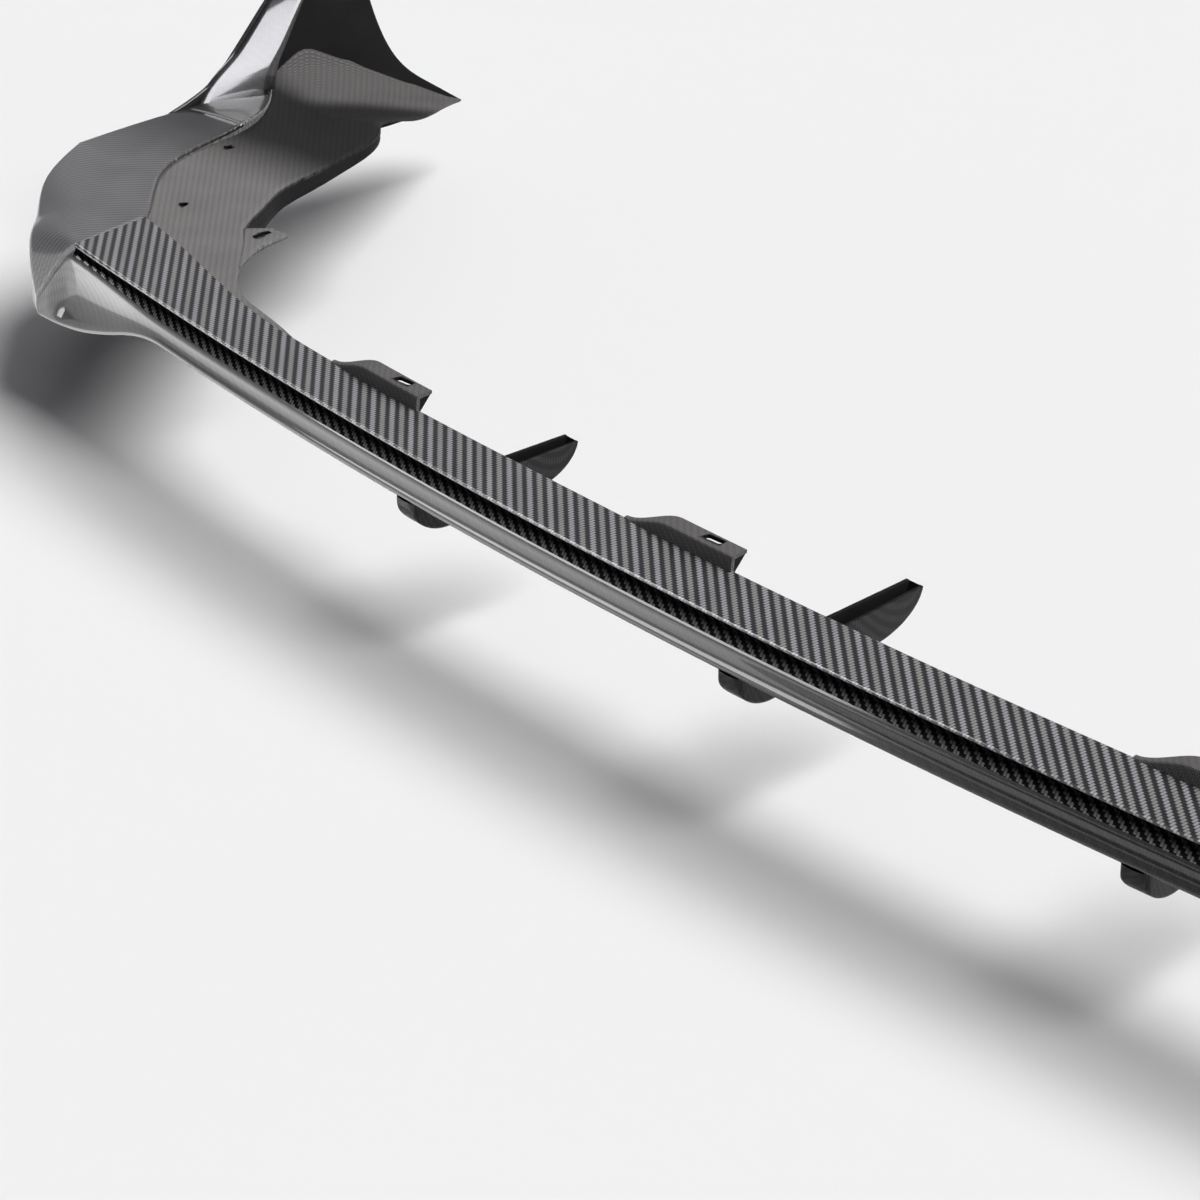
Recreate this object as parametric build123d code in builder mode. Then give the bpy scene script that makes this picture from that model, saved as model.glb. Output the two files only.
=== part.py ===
"""Rear bumper lip: one moulded laminate with upturned ends, and five hollow strakes bonded under it.

Millimetres. X runs across the car, Y forward, Z up. The part stands on its front tips, with the
origin in the middle of its box at the level it rests on. Sketches on the planes below are drawn
from the middle of the long fold, where the flat top strip turns down: forward of it is positive,
and so is up from the strip's top. The left end is modelled and mirrored.
"""

import os
from math import atan2, cos, exp, pi, sin, sqrt

from build123d import *

# Overall sizes
SPAN = 1810.0
TIP_FORWARD = 497.0
STRIP_TOP = 66.0
WALL = 2.5

# Long strip and the rolled lip under its fold
BLADE_REACH = 117.5
FOLD_SWEEP = 79.0
FOLD_POWER = 2.2
EDGE_CUT = 1.0
STRIP_WIDTH = 37.0
STRIP_WAIST = 3.0
STRIP_FLARE = 18.0
FLARE_LENGTH = 167.5
RECESS_IN = 2.5
RECESS_DOWN = 4.0
LINE_OUT = 1.5
LINE_DOWN = 11.6
BAND_OUT = 4.0
LIP_HEIGHT = 24.5
UNDER_FLANGE = 30.0

# Corner: nose, blade and side wall
NOSE_HEIGHT = 60.0
NOSE_LEAD = 97.5
NOSE_REACH = 30.5
NOSE_PULL = 6.0
NOSE_DROP = 42.0
SCOOP_DEPTH = 4.0
BLADE_CORNER = 180.0
BLADE_END = 262.0
CREASE_STEP = 0.4
HEM_WIDTH = 18.0
SEAT = 1.0

# Upright end plate with its folded rear edge
UPRIGHT_FOOT = 266.0
UPRIGHT_HEIGHT = 95.0
UPRIGHT_REACH = 390.0
FACET_DEPTH = 14.0

# Mounting flange inside the corner
FLANGE_STEP = 3.5
FOOT_START = 320.0
FOOT_RADIUS = 38.0
VALLEY_DEPTH = 5.0
RETURN_HEIGHT = 15.0
RETURN_FRONT_HEIGHT = 6.0
HOLE_RADIUS = 2.5

# Raised tabs along the strip: inboard end, length, length of the fade-out, all across the car
TAB_RISE = 8.0
TAB_DEPTH = 8.5
TAB_THICKNESS = 2.0
TAB_LENGTH = 43.0
TAB_FADE = 31.0
OUTER_TAB = 497.5
INNER_TAB = 267.5
CENTRE_TAB = 43.0
SLOT_WIDTH = 4.0
SLOT_LENGTH = 12.0
SLOT_FROM_END = 18.0

# Strakes
FIN_SPACING = 233.0
FIN_REAR_WIDTH = 15.5
FIN_FRONT_WIDTH = 11.0
FIN_DEPTH = 20.0
FIN_FRONT = 130.0
FIN_WALL = 2.0
NOSE_LENGTH = 24.0
FRONT_SWEEP = 36.0
NOSE_ROUND = 0.45
FRONT_ROUND = 1.5

FOLD_Y = (BAND_OUT - TIP_FORWARD) / 2
SIDE_X = SPAN / 2
CREASE_X = SIDE_X - BLADE_REACH
NOSE_START = CREASE_X - NOSE_LEAD
NOSE_X = CREASE_X + NOSE_REACH
NOSE_FORWARD = FOLD_SWEEP - NOSE_PULL


def smooth(t):
    """Eased step from 0 to 1."""
    t = max(0.0, min(1.0, t))
    return t * t * (3 - 2 * t)


def fold_line(x):
    """Forward distance of the fold at x: it sweeps forward towards the ends."""
    return FOLD_SWEEP * (abs(x) / CREASE_X) ** FOLD_POWER


def strip_edge(x):
    """Forward distance of the strip's inner edge: a little narrower outboard, flared at the corner."""
    waist = STRIP_WAIST * smooth((abs(x) - 350.0) / 200.0)
    flare = STRIP_FLARE * smooth((abs(x) - CREASE_X + FLARE_LENGTH) / FLARE_LENGTH)
    return fold_line(x) + STRIP_WIDTH - waist + flare


def lip_height(x):
    """Height of the rolled lip, which deepens into the nose at the corner."""
    nose = smooth((abs(x) - NOSE_START) / (NOSE_X - NOSE_START))
    return LIP_HEIGHT + (NOSE_HEIGHT - LIP_HEIGHT) * nose


def recess(x):
    """Depth of the recess under the fold, which fades out where the nose begins."""
    return RECESS_IN * (1.0 - 0.8 * smooth((abs(x) - NOSE_START) / (CREASE_X - NOSE_START)))


def from_corner(across, forward):
    """Plan point measured from the strip's inner corner at the left crease."""
    return (across - CREASE_X, strip_edge(CREASE_X) + forward)


def across_plane(x):
    """Plane across the strip at x, drawn in (forward, up)."""
    return Plane(origin=(x, FOLD_Y, STRIP_TOP), x_dir=(0, 1, 0), z_dir=(1, 0, 0))


def level_plane(up=0.0):
    """Level plane at a height from the strip's top, drawn in (across, forward)."""
    return Plane(origin=(0, FOLD_Y, STRIP_TOP + up))


def placed(across, forward, up):
    """Point in space from distances across, forward of the fold's middle and up from the strip."""
    return (across, FOLD_Y + forward, STRIP_TOP + up)


# Strip: a thin channel open to the front, lofted across the car along the swept fold.
with BuildPart() as strip:
    stations = [CREASE_X - lead for lead in (0.0, 40.0, NOSE_LEAD, FLARE_LENGTH)]
    stations += [CREASE_X * share for share in (0.69, 0.56, 0.42, 0.28, 0.14)]
    for x in [-s for s in stations] + [0.0] + stations[::-1]:
        fold = fold_line(x)
        height = lip_height(x)
        inward = recess(x)
        with BuildSketch(across_plane(x)):
            with BuildLine():
                Polyline(
                    (strip_edge(x), 0),
                    (fold + EDGE_CUT, 0),
                    (fold, -EDGE_CUT),
                    (fold + inward, -RECESS_DOWN),
                    (fold - LINE_OUT, -LINE_DOWN),
                    (fold - BAND_OUT, -height + EDGE_CUT),
                    (fold - BAND_OUT + EDGE_CUT, -height),
                    (fold + UNDER_FLANGE, -height),
                    (fold + UNDER_FLANGE, -height + WALL),
                    (fold - BAND_OUT + WALL, -height + WALL),
                    (fold - LINE_OUT + WALL, -LINE_DOWN),
                    (fold + inward + WALL, -RECESS_DOWN),
                    (fold + inward + WALL, -WALL),
                    (strip_edge(x), -WALL),
                    close=True,
                )
            make_face()
    loft()

# Blade: a sheet that lies level beside the strip and rolls down towards its outer edge. Each row
# runs from the outer edge inwards; the drop fades as a power of the distance from that edge.
blade_outline = [
    (0.0, 0.0, NOSE_DROP, FOLD_SWEEP, 1.3),
    (0.18, 0.09, 22.0, 88.0, 2.0),
    (0.50, 0.35, 15.0, 108.0, 2.6),
    (0.83, 0.64, 11.0, 131.0, 3.0),
    (1.0, 1.0, 4.0, BLADE_CORNER, 4.0),
]
blade_side = [(215.0, 2.5), (242.0, 3.0), (BLADE_END, 4.0), (BLADE_END + 20.0, 5.0)]
outer_edge = [
    (-NOSE_X - a * (SIDE_X - NOSE_X), NOSE_FORWARD + b * (BLADE_CORNER - NOSE_FORWARD))
    for a, b, drop, inner, power in blade_outline
]
blade_rows = [
    (edge[0], edge[1], row[2], row[3], row[4]) for edge, row in zip(outer_edge, blade_outline)
]
blade_rows += [(-SIDE_X, forward, drop, forward, 4.0) for forward, drop in blade_side]
blade_rows.insert(0, (-NOSE_X, NOSE_FORWARD - HEM_WIDTH, NOSE_DROP, FOLD_SWEEP - HEM_WIDTH, 1.3))


def blade_surface(sink):
    """Blade's top face, sunk by a distance, from a little outside its edge to inside the strip."""
    grid = []
    for edge_x, edge_forward, drop, inner_forward, power in blade_rows:
        shares = [-0.05 + 1.05 * k / 7 for k in range(8)]
        grid.append([
            placed(
                edge_x + (3 * SEAT - CREASE_X - edge_x) * share,
                edge_forward + (inner_forward - edge_forward) * share,
                -drop * (1 - share) ** power - sink,
            )
            for share in shares
        ])
    return Face.make_surface_from_array_of_points(grid, tol=0.05)


blade_face = blade_surface(CREASE_STEP)
inside_blade = blade_surface(CREASE_STEP + WALL / 2)

# The line where the polished blade steps down to the flange, from the strip's corner forwards.
step_line = [
    from_corner(0.0, 0.0),
    from_corner(-12.5, 14.0),
    from_corner(-32.5, 35.0),
    from_corner(-49.5, 58.0),
    from_corner(-56.5, 83.0),
    (-CREASE_X - 63.5, BLADE_END),
]

# The blade's end reaches into the strip, a little below its top, so the strip ends in a crease.
rim_start = (2 * SEAT - CREASE_X, FOLD_SWEEP + SEAT)
strip_inside = (2 * SEAT - CREASE_X, strip_edge(CREASE_X) - 2 * SEAT)

with BuildPart() as blade:
    with BuildSketch(level_plane(-NOSE_HEIGHT)):
        with BuildLine():
            Polyline(step_line[0], strip_inside, rim_start, outer_edge[0])
            Spline(outer_edge)
            Polyline(outer_edge[-1], (-SIDE_X, BLADE_END), step_line[-1])
            Spline(step_line[::-1])
        make_face()
    extrude(amount=NOSE_HEIGHT + UPRIGHT_HEIGHT)
    blade_plan = blade.part
    add(thicken(blade_face, amount=WALL, mode=Mode.PRIVATE), mode=Mode.INTERSECT)

# Nose: the rolled lip runs on past the crease as a scooped panel under the blade's falling edge.
# Each section goes from the edge down over a flat band, into the scoop and round to the bottom.
with BuildPart() as nose:
    for share in (0.0, 0.25, 0.5, 0.75, 1.0):
        x = rim_start[0] + (outer_edge[0][0] - rim_start[0]) * share
        top = rim_start[1] + (outer_edge[0][1] - rim_start[1]) * share + 0.3 * SEAT
        bottom = FOLD_SWEEP - BAND_OUT + (NOSE_FORWARD - FOLD_SWEEP + BAND_OUT + 0.3 * SEAT) * share
        rim = -CREASE_STEP - WALL / 2 - NOSE_DROP * share**1.3
        sole = -lip_height(x)
        scoop = 0.3 * SEAT + SCOOP_DEPTH * sin(pi * share)
        band = (top + (bottom - top) * 0.35, rim + (sole - rim) * 0.35)
        hollow = (top + (bottom - top) * 0.7 + scoop, rim + (sole - rim) * 0.7)
        with BuildSketch(across_plane(x)):
            with BuildLine():
                Polyline(
                    (top, rim),
                    band,
                    hollow,
                    (bottom, sole),
                    (bottom + HEM_WIDTH, sole),
                    (bottom + HEM_WIDTH, sole + WALL),
                    (bottom + WALL, sole + WALL),
                    (hollow[0] + WALL, hollow[1]),
                    (band[0] + WALL, band[1]),
                    (top + WALL, rim),
                    close=True,
                )
            make_face()
    loft()

# Skirt: the wall under the rest of the blade's outer edge, with a narrow hem turned inwards.
rim_slope = (rim_start[1] - NOSE_FORWARD) / NOSE_REACH
skirt_lead = (outer_edge[0][0] + 3 * SEAT, outer_edge[0][1] + 3 * SEAT * rim_slope)
with BuildPart() as skirt:
    add(blade_plan)
    with BuildSketch(level_plane(-NOSE_HEIGHT)):
        with BuildLine():
            Line(skirt_lead, outer_edge[0])
            Spline(outer_edge)
            Line(outer_edge[-1], (-SIDE_X, BLADE_END))
        trace(line_width=2 * WALL)
    extrude(amount=NOSE_HEIGHT + WALL, mode=Mode.INTERSECT)
    extrude(inside_blade, amount=NOSE_HEIGHT + UPRIGHT_HEIGHT, dir=(0, 0, 1), mode=Mode.SUBTRACT)

with BuildPart() as hem:
    add(blade_plan)
    with BuildSketch(level_plane(-NOSE_HEIGHT)):
        with BuildLine():
            Line(skirt_lead, outer_edge[0])
            Spline(outer_edge)
            Line(outer_edge[-1], (-SIDE_X, BLADE_END))
        trace(line_width=2 * HEM_WIDTH)
    extrude(amount=WALL, mode=Mode.INTERSECT)

# Upright: a flat end plate from the hem up, with a sloping rear edge and the wheel arch's curve.
arch_edge = [
    (TIP_FORWARD, -STRIP_TOP),
    (TIP_FORWARD - 29.0, -45.0),
    (TIP_FORWARD - 53.0, -26.0),
    (TIP_FORWARD - 68.0, -5.0),
    (TIP_FORWARD - 80.0, 24.0),
    (UPRIGHT_REACH + 8.0, UPRIGHT_HEIGHT),
]
rear_shares = [(1.0, 1.0), (0.53, 0.5), (0.306, 0.23), (0.12, 0.053), (0.0, 0.0)]
rear_edge = [
    (UPRIGHT_FOOT + (UPRIGHT_REACH - UPRIGHT_FOOT) * along, UPRIGHT_HEIGHT * up)
    for along, up in rear_shares
]
with BuildPart() as upright:
    with BuildSketch(across_plane(-SIDE_X)):
        with BuildLine():
            Polyline(
                (BLADE_CORNER + 2.0, -4.5),
                (BLADE_CORNER + 2.0, -NOSE_HEIGHT),
                (FOOT_START, -NOSE_HEIGHT),
                arch_edge[0],
            )
            Spline(arch_edge)
            Line(arch_edge[-1], rear_edge[0])
            Spline(rear_edge)
            Polyline(rear_edge[-1], (242.0, -2.5), (BLADE_CORNER + 2.0, -4.5))
        make_face()
    extrude(amount=WALL)

# Everything behind the upright is trimmed to its outline.
with BuildPart() as upright_trim:
    with BuildSketch(across_plane(-SIDE_X)):
        with BuildLine():
            Spline(arch_edge)
            Line(arch_edge[-1], rear_edge[0])
            Spline(rear_edge)
            Polyline(
                rear_edge[-1],
                (UPRIGHT_FOOT, STRIP_TOP + UPRIGHT_HEIGHT),
                (TIP_FORWARD, STRIP_TOP + UPRIGHT_HEIGHT),
                arch_edge[0],
            )
        make_face()
    extrude(amount=2 * FOOT_RADIUS)

# Facet: the upright's rear edge folds inwards, as a strip that narrows to the top.
# Each level has its place along the rear edge, its height as a share of the upright's, and its width.
facet_levels = [
    (-0.03, -0.17, 58.0),
    (0.1, 0.04, 45.0),
    (0.306, 0.23, 29.0),
    (0.53, 0.5, 18.0),
    (1.0, 1.0, 5.0),
]
with BuildPart() as facet:
    for along, up, width in facet_levels:
        edge = UPRIGHT_FOOT + (UPRIGHT_REACH - UPRIGHT_FOOT) * along
        crease = edge + width
        with BuildSketch(level_plane(UPRIGHT_HEIGHT * up)):
            with BuildLine():
                Polyline(
                    (-SIDE_X, edge),
                    (-SIDE_X + FACET_DEPTH, crease),
                    (-SIDE_X + FACET_DEPTH - 0.5, crease + WALL),
                    (-SIDE_X, edge + 2 * WALL),
                    close=True,
                )
            make_face()
    loft(ruled=True)
    add(upright_trim, mode=Mode.SUBTRACT)


def foot_height(inward, forward):
    """Height of the flange at a distance inwards from the side wall and forward of the fold.

    It lies a step below the blade, dips in a shallow valley, falls towards the front tip and rises
    at the side wall in a round foot whose radius shrinks towards the tip.
    """
    beyond = max(0.0, (forward - FOOT_START) / (TIP_FORWARD - FOOT_START))
    fall = (STRIP_TOP - FLANGE_STEP) * beyond**1.15
    radius = FOOT_RADIUS * max(0.15, min(1.0, (TIP_FORWARD + 10.0 - forward) / 150.0))
    rise = radius - sqrt(max(0.0, radius**2 - max(0.0, radius - inward) ** 2))
    valley = VALLEY_DEPTH * smooth((forward - 215.0) / 100.0) * exp(-(((inward - 55.0) / 25.0) ** 2))
    return smooth((forward - 285.0) / 60.0) * rise - FLANGE_STEP - fall - valley


flange_inward = [2.0, 6.0, 11.0, 17.0, 25.0, 34.0, 46.0, 62.0, 85.0, 115.0, 155.0, 200.0, 260.0, 345.0]
flange_forward = [60.0, 100.0, 140.0, 175.0, 210.0, 240.0, 270.0, 295.0, 318.0, 342.0, 370.0, 400.0]
flange_forward += [430.0, 460.0, 485.0, TIP_FORWARD + 3.0]
flange_grid = [
    [placed(inward - SIDE_X, forward, foot_height(inward, forward)) for inward in flange_inward]
    for forward in flange_forward
]
flange_face = Face.make_surface_from_array_of_points(flange_grid, tol=0.05)

# Free inner edge of the flange, from where it fades out along the strip to its front corner. The
# hook in it is the side tab.
fade_x = CREASE_X - 221.5
band_steps = [(157.5, -42.0), (124.5, -33.0), (102.5, -23.0), (86.5, -7.0)]
tab_steps = [(86.5, -7.0), (74.5, 15.0), (71.5, 30.0), (71.5, 43.0), (57.5, 43.0), (46.5, 33.0)]
free_steps = [(46.5, 33.0), (31.5, 60.0), (19.5, 85.0), (14.5, 117.0), (7.5, 168.0), (-15.5, 198.0)]
band_edge = [(-fade_x, strip_edge(fade_x))] + [from_corner(*step) for step in band_steps]
tab_edge = [from_corner(*step) for step in tab_steps]
free_edge = [from_corner(*step) for step in free_steps]
inner_stations = [CREASE_X - (CREASE_X - fade_x) * k / 5 for k in range(6)]
inner_edge = [(-x, strip_edge(x)) for x in inner_stations]

with BuildPart() as flange:
    with BuildSketch(level_plane(-STRIP_TOP)):
        with BuildLine():
            Spline(band_edge)
            Polyline(tab_edge)
            Spline(free_edge)
            Polyline(
                free_edge[-1],
                (-SIDE_X + SEAT, TIP_FORWARD - WALL),
                (-SIDE_X + SEAT, BLADE_END),
                step_line[-1],
            )
            Spline(step_line[::-1])
            Spline(inner_edge)
        make_face()
    extrude(amount=STRIP_TOP + UPRIGHT_HEIGHT)
    flange_plan = flange.part
    add(thicken(flange_face, amount=WALL, mode=Mode.PRIVATE), mode=Mode.INTERSECT)
    add(upright_trim, mode=Mode.SUBTRACT)

# Step wall: joins the flange to the strip's inner edge and to the blade, which lie a step higher.
with BuildPart() as step_wall:
    with BuildSketch(level_plane(-FLANGE_STEP - WALL - SEAT)):
        with BuildLine():
            Spline(inner_edge[::-1])
            Spline(step_line)
            Line(step_line[-1], (-SIDE_X + SEAT, BLADE_END))
        trace(line_width=WALL)
    extrude(amount=FLANGE_STEP + WALL)
    extrude(inside_blade, amount=UPRIGHT_HEIGHT, dir=(0, 0, 1), mode=Mode.SUBTRACT)

# Return wall: turns down from the flange's free edge and gets lower to the front.
with BuildPart() as return_wall:
    with BuildSketch(level_plane(-FLANGE_STEP - RETURN_HEIGHT)):
        with BuildLine():
            Line(tab_edge[-2], free_edge[0])
            Spline(free_edge)
        trace(line_width=2 * WALL)
    extrude(amount=RETURN_HEIGHT - WALL / 2)
    add(flange_plan, mode=Mode.INTERSECT)
    with BuildSketch(across_plane(-SIDE_X)):
        with BuildLine():
            Polyline(
                (free_edge[0][1] - TAB_DEPTH, -FLANGE_STEP - RETURN_HEIGHT),
                (free_edge[-1][1], -FLANGE_STEP - RETURN_FRONT_HEIGHT),
                (free_edge[-1][1], -FLANGE_STEP - RETURN_HEIGHT),
                close=True,
            )
        make_face()
    extrude(amount=SIDE_X, mode=Mode.SUBTRACT)

# Left corner, whole: its sheets and walls joined, with its holes and the side tab's slot.
hole_steps = [(-4.5, 32.0), (-51.5, 108.0), (-25.5, 225.0)]
slot_step = (60.5, 33.0)
sheets = (blade, nose, skirt, hem, upright, facet, flange, step_wall, return_wall)
with BuildPart() as corner:
    add([sheet.part for sheet in sheets])
    with BuildSketch(level_plane(-2 * NOSE_HEIGHT / 3)):
        with Locations([from_corner(*step) for step in hole_steps]):
            Circle(HOLE_RADIUS)
        with Locations([from_corner(*slot_step)]):
            SlotOverall(SLOT_LENGTH, SLOT_WIDTH, rotation=90)
    extrude(amount=NOSE_HEIGHT, mode=Mode.SUBTRACT)


def tab_profile(edge, rise):
    """Section of a raised tab: a riser at the strip's inner edge and a level leaf at its top."""
    leaf = edge + 1.0 + TAB_DEPTH * rise / TAB_RISE
    Polyline(
        (edge - WALL, -WALL),
        (edge + 1.0 - TAB_THICKNESS, rise),
        (leaf, rise),
        (leaf, rise - TAB_THICKNESS),
        (edge + 1.0, rise - TAB_THICKNESS),
        (edge, -WALL),
        close=True,
    )


def make_tab(end):
    """Tab whose leaf ends square at end, over an end wall, and fades out away from it towards -X."""
    middle = end - TAB_LENGTH / 2
    outboard = end - TAB_LENGTH
    slot_x = end - SLOT_FROM_END
    edge = strip_edge(end)
    with BuildPart() as tab:
        for near, far, far_rise in (
            (end, middle, TAB_RISE),
            (middle, outboard, TAB_RISE),
            (outboard, outboard - TAB_FADE, 0.5),
        ):
            for x, rise in ((near, TAB_RISE), (far, far_rise)):
                with BuildSketch(across_plane(x)):
                    with BuildLine():
                        tab_profile(strip_edge(x), rise)
                    make_face()
            loft(ruled=True)
        with BuildSketch(across_plane(end)):
            with BuildLine():
                Polyline(
                    (edge - WALL, -WALL),
                    (edge, TAB_RISE),
                    (edge + TAB_DEPTH, TAB_RISE),
                    (edge, -WALL),
                    close=True,
                )
            make_face()
        extrude(amount=-TAB_THICKNESS)
        with BuildSketch(level_plane(-WALL)):
            with Locations((slot_x, strip_edge(slot_x) + 1.0 + TAB_DEPTH / 2)):
                SlotOverall(SLOT_LENGTH, SLOT_WIDTH)
        extrude(amount=2 * TAB_RISE, mode=Mode.SUBTRACT)
    return tab.part


# The left half of the strip with its corner and two tabs, mirrored about the middle. The tab in
# the middle is a single one, with its square end to the right like those on the left.
outer_tab = make_tab(-OUTER_TAB)
inner_tab = make_tab(-INNER_TAB)
centre_tab = make_tab(CENTRE_TAB)
with BuildPart() as left_half:
    add(strip)
    add(corner)
    split(bisect_by=Plane.YZ, keep=Keep.BOTTOM)
    add(outer_tab)
    add(inner_tab)

with BuildPart() as lip:
    add(left_half)
    mirror(about=Plane.YZ)
    add(centre_tab)
lip.part.label = "lip"


def strake_form(x, inset):
    """Closed form of the strake at x, square to the fold there, with every face moved in by inset.

    Its plan shape narrows to the front, and its side profile has a round nose, a level keel and a
    front end that sweeps up. The top face moves up by the inset, so a moved-in form cuts it open.
    """
    fold = fold_line(x)
    length = FIN_FRONT - fold
    yaw = atan2(FOLD_POWER * fold, x) if x > 0 else -atan2(FOLD_POWER * fold, -x) if x else 0.0
    across = (cos(yaw), sin(yaw), 0)
    origin = (x, FOLD_Y + fold, STRIP_TOP - LIP_HEIGHT)
    rear = FIN_REAR_WIDTH / 2 - inset
    front = FIN_FRONT_WIDTH / 2 - inset
    nose = inset - BAND_OUT
    keel = inset - FIN_DEPTH
    with BuildPart() as form:
        with BuildSketch(Plane(origin=origin, x_dir=across, z_dir=(0, 0, 1)).offset(inset)):
            with BuildLine():
                FilletPolyline(
                    (-rear, nose),
                    (rear, nose),
                    (front, length - inset),
                    (-front, length - inset),
                    close=True,
                    radius=[NOSE_ROUND * rear, NOSE_ROUND * rear, FRONT_ROUND, FRONT_ROUND],
                )
            make_face()
        extrude(amount=-2 * FIN_DEPTH)
        with BuildSketch(Plane(origin=origin, x_dir=(-sin(yaw), cos(yaw), 0), z_dir=across)):
            with BuildLine():
                TangentArc((nose + NOSE_LENGTH, keel), (nose, 0), tangent=(-1, 0))
                Line((nose + NOSE_LENGTH, keel), (length - FRONT_SWEEP, keel))
                TangentArc((length - FRONT_SWEEP, keel), (length - inset, 0), tangent=(1, 0))
                Polyline((length - inset, 0), (length - inset, FIN_DEPTH), (nose, FIN_DEPTH), (nose, 0))
            make_face()
        extrude(amount=FIN_REAR_WIDTH, both=True, mode=Mode.INTERSECT)
    return form.part


os.makedirs("parts", exist_ok=True)
export_step(lip.part, "parts/lip.step")

fins = {
    "fin_left_outer": -2 * FIN_SPACING,
    "fin_left_inner": -FIN_SPACING,
    "fin_centre": 0.0,
    "fin_right_inner": FIN_SPACING,
    "fin_right_outer": 2 * FIN_SPACING,
}
for name, x in fins.items():
    outside = strake_form(x, 0)
    inside = strake_form(x, FIN_WALL)
    with BuildPart() as fin:
        add(outside)
        add(inside, mode=Mode.SUBTRACT)
    fin.part.label = name
    export_step(fin.part, f"parts/{name}.step")
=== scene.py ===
"""Rear bumper lip: the woven laminate shell, its corners, tabs and five strakes, on a pale floor.

Lengths are metres. Surfaces are worked out on numpy grids in the lip's own terms: across the car,
forward of the middle of the long fold, and up from the flat top of the strip. lip_terms moves them
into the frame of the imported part. The left side is modelled, and the right one is its mirror image.
"""
import math

import bmesh
import bpy
import numpy as np
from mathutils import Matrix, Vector


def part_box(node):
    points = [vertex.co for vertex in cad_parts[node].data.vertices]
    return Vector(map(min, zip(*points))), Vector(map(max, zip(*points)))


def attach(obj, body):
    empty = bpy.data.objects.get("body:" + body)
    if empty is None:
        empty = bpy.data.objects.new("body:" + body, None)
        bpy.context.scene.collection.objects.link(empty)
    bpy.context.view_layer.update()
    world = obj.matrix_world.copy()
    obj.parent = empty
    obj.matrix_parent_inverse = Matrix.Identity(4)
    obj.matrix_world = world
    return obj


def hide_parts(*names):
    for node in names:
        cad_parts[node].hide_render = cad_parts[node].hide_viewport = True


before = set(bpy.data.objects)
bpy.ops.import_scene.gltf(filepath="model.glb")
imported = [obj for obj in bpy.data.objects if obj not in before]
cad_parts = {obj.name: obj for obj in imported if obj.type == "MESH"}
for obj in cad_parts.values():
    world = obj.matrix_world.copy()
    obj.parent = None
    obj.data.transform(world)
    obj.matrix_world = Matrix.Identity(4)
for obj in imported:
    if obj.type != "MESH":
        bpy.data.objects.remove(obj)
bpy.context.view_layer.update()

bl_info = {
    "name": "Rear Bumper Lip",
    "version": (1, 0, 0),
    "blender": (4, 5, 0),
    "location": "View3D > Sidebar > Bumper Lip",
    "description": "Builds the laminate lip, its corners, tabs and strakes, and the studio around it",
    "category": "Object",
}

MM = 0.001
SIDES = (("left", 1.0), ("right", -1.0))

# Sizes of the moulding
LOW, HIGH = (np.array(corner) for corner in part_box("lip"))
SIDE_X = float(HIGH[0])
TOP_Z = 0.066
BAND_OUT = 0.004
FOLD_Y = float(LOW[1]) + BAND_OUT
CREASE_X = 0.7875
FOLD_SWEEP = 0.079
FOLD_POWER = 2.2
STRIP_WIDTH = 0.037
STRIP_WAIST = 0.003
WAIST_START = 0.350
WAIST_LENGTH = 0.200
STRIP_FLARE = 0.018
FLARE_LENGTH = 0.1675
RECESS_IN = 0.0025
RECESS_FADE = 0.8
RECESS_DOWN = 0.004
LINE_OUT = 0.0015
LINE_DOWN = 0.0116
RIM_RISE = 0.0048
LIP_HEIGHT = 0.0245
UNDER_FLANGE = 0.030

NOSE_X = 0.818
NOSE_FORWARD = 0.073
NOSE_DROP = 0.042
NOSE_START = 0.690
NOSE_HEIGHT = 0.060
HEM_WIDTH = 0.018
NOSE_CUT = 0.009
NOSE_CUT_START = 0.740
NOSE_CUT_POWER = 1.4
NOSE_BULGE = 0.0029
RIM_POWER = 1.3
RIM_STEP = 0.0003
SCOOP_START = NOSE_START + 0.006
SCOOP_RUN = CREASE_X - NOSE_START - 0.010
SCOOP_FADE_START = 0.25
SCOOP_FADE = 0.5
SKIRT_ROUND = 0.003
SKIRT_HEM_RISE = 0.0056
BLADE_ROUND = 0.0026
SKIRT_CUT_START = 0.100
SKIRT_CUT_FADE = 0.080
NOSE_SETTLE = 0.0033
SETTLE_START = 0.700
BAND_HOLLOW = 0.0007
BLADE_CORNER = 0.180
BLADE_END = 0.262
FACET_START = 0.3185
LEAD_INSET = 0.0003
LEAD_START = (BLADE_END - 0.012, -0.0035)

UPRIGHT_FOOT = 0.266
UPRIGHT_REACH = 0.390
UPRIGHT_HEIGHT = 0.095
FACET_DEPTH = 0.014
FACET_INSET = 0.0020
FACET_WALL = 0.8
FACET_FACING = (0.81, -0.38, 0.44)
TIP_FORWARD = 0.497

FLANGE_START = -0.566
FLANGE_STEP = 0.0035
STEP_WALL = 0.5
LAP = 0.0004
FOOT_START = 0.320
FOOT_RADIUS = 0.038
FOOT_RISE_START = 0.318
FOOT_RISE = 0.050
FOOT_TIP = 0.010
FOOT_TAPER = 0.150
FOOT_LEAST = 0.15
FALL_POWER = 1.15
VALLEY_DEPTH = 0.005
VALLEY_INSIDE = 0.055
VALLEY_WIDTH = 0.025
VALLEY_START = 0.215
VALLEY_LENGTH = 0.100
RETURN_HEIGHT = 0.015
RETURN_FRONT_HEIGHT = 0.006
RETURN_START = 0.163
RETURN_END = 0.331
RETURN_OUTSIDE = -0.805
HOLE_RADIUS = 0.0025
CUTTER_REACH = 0.010

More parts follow.
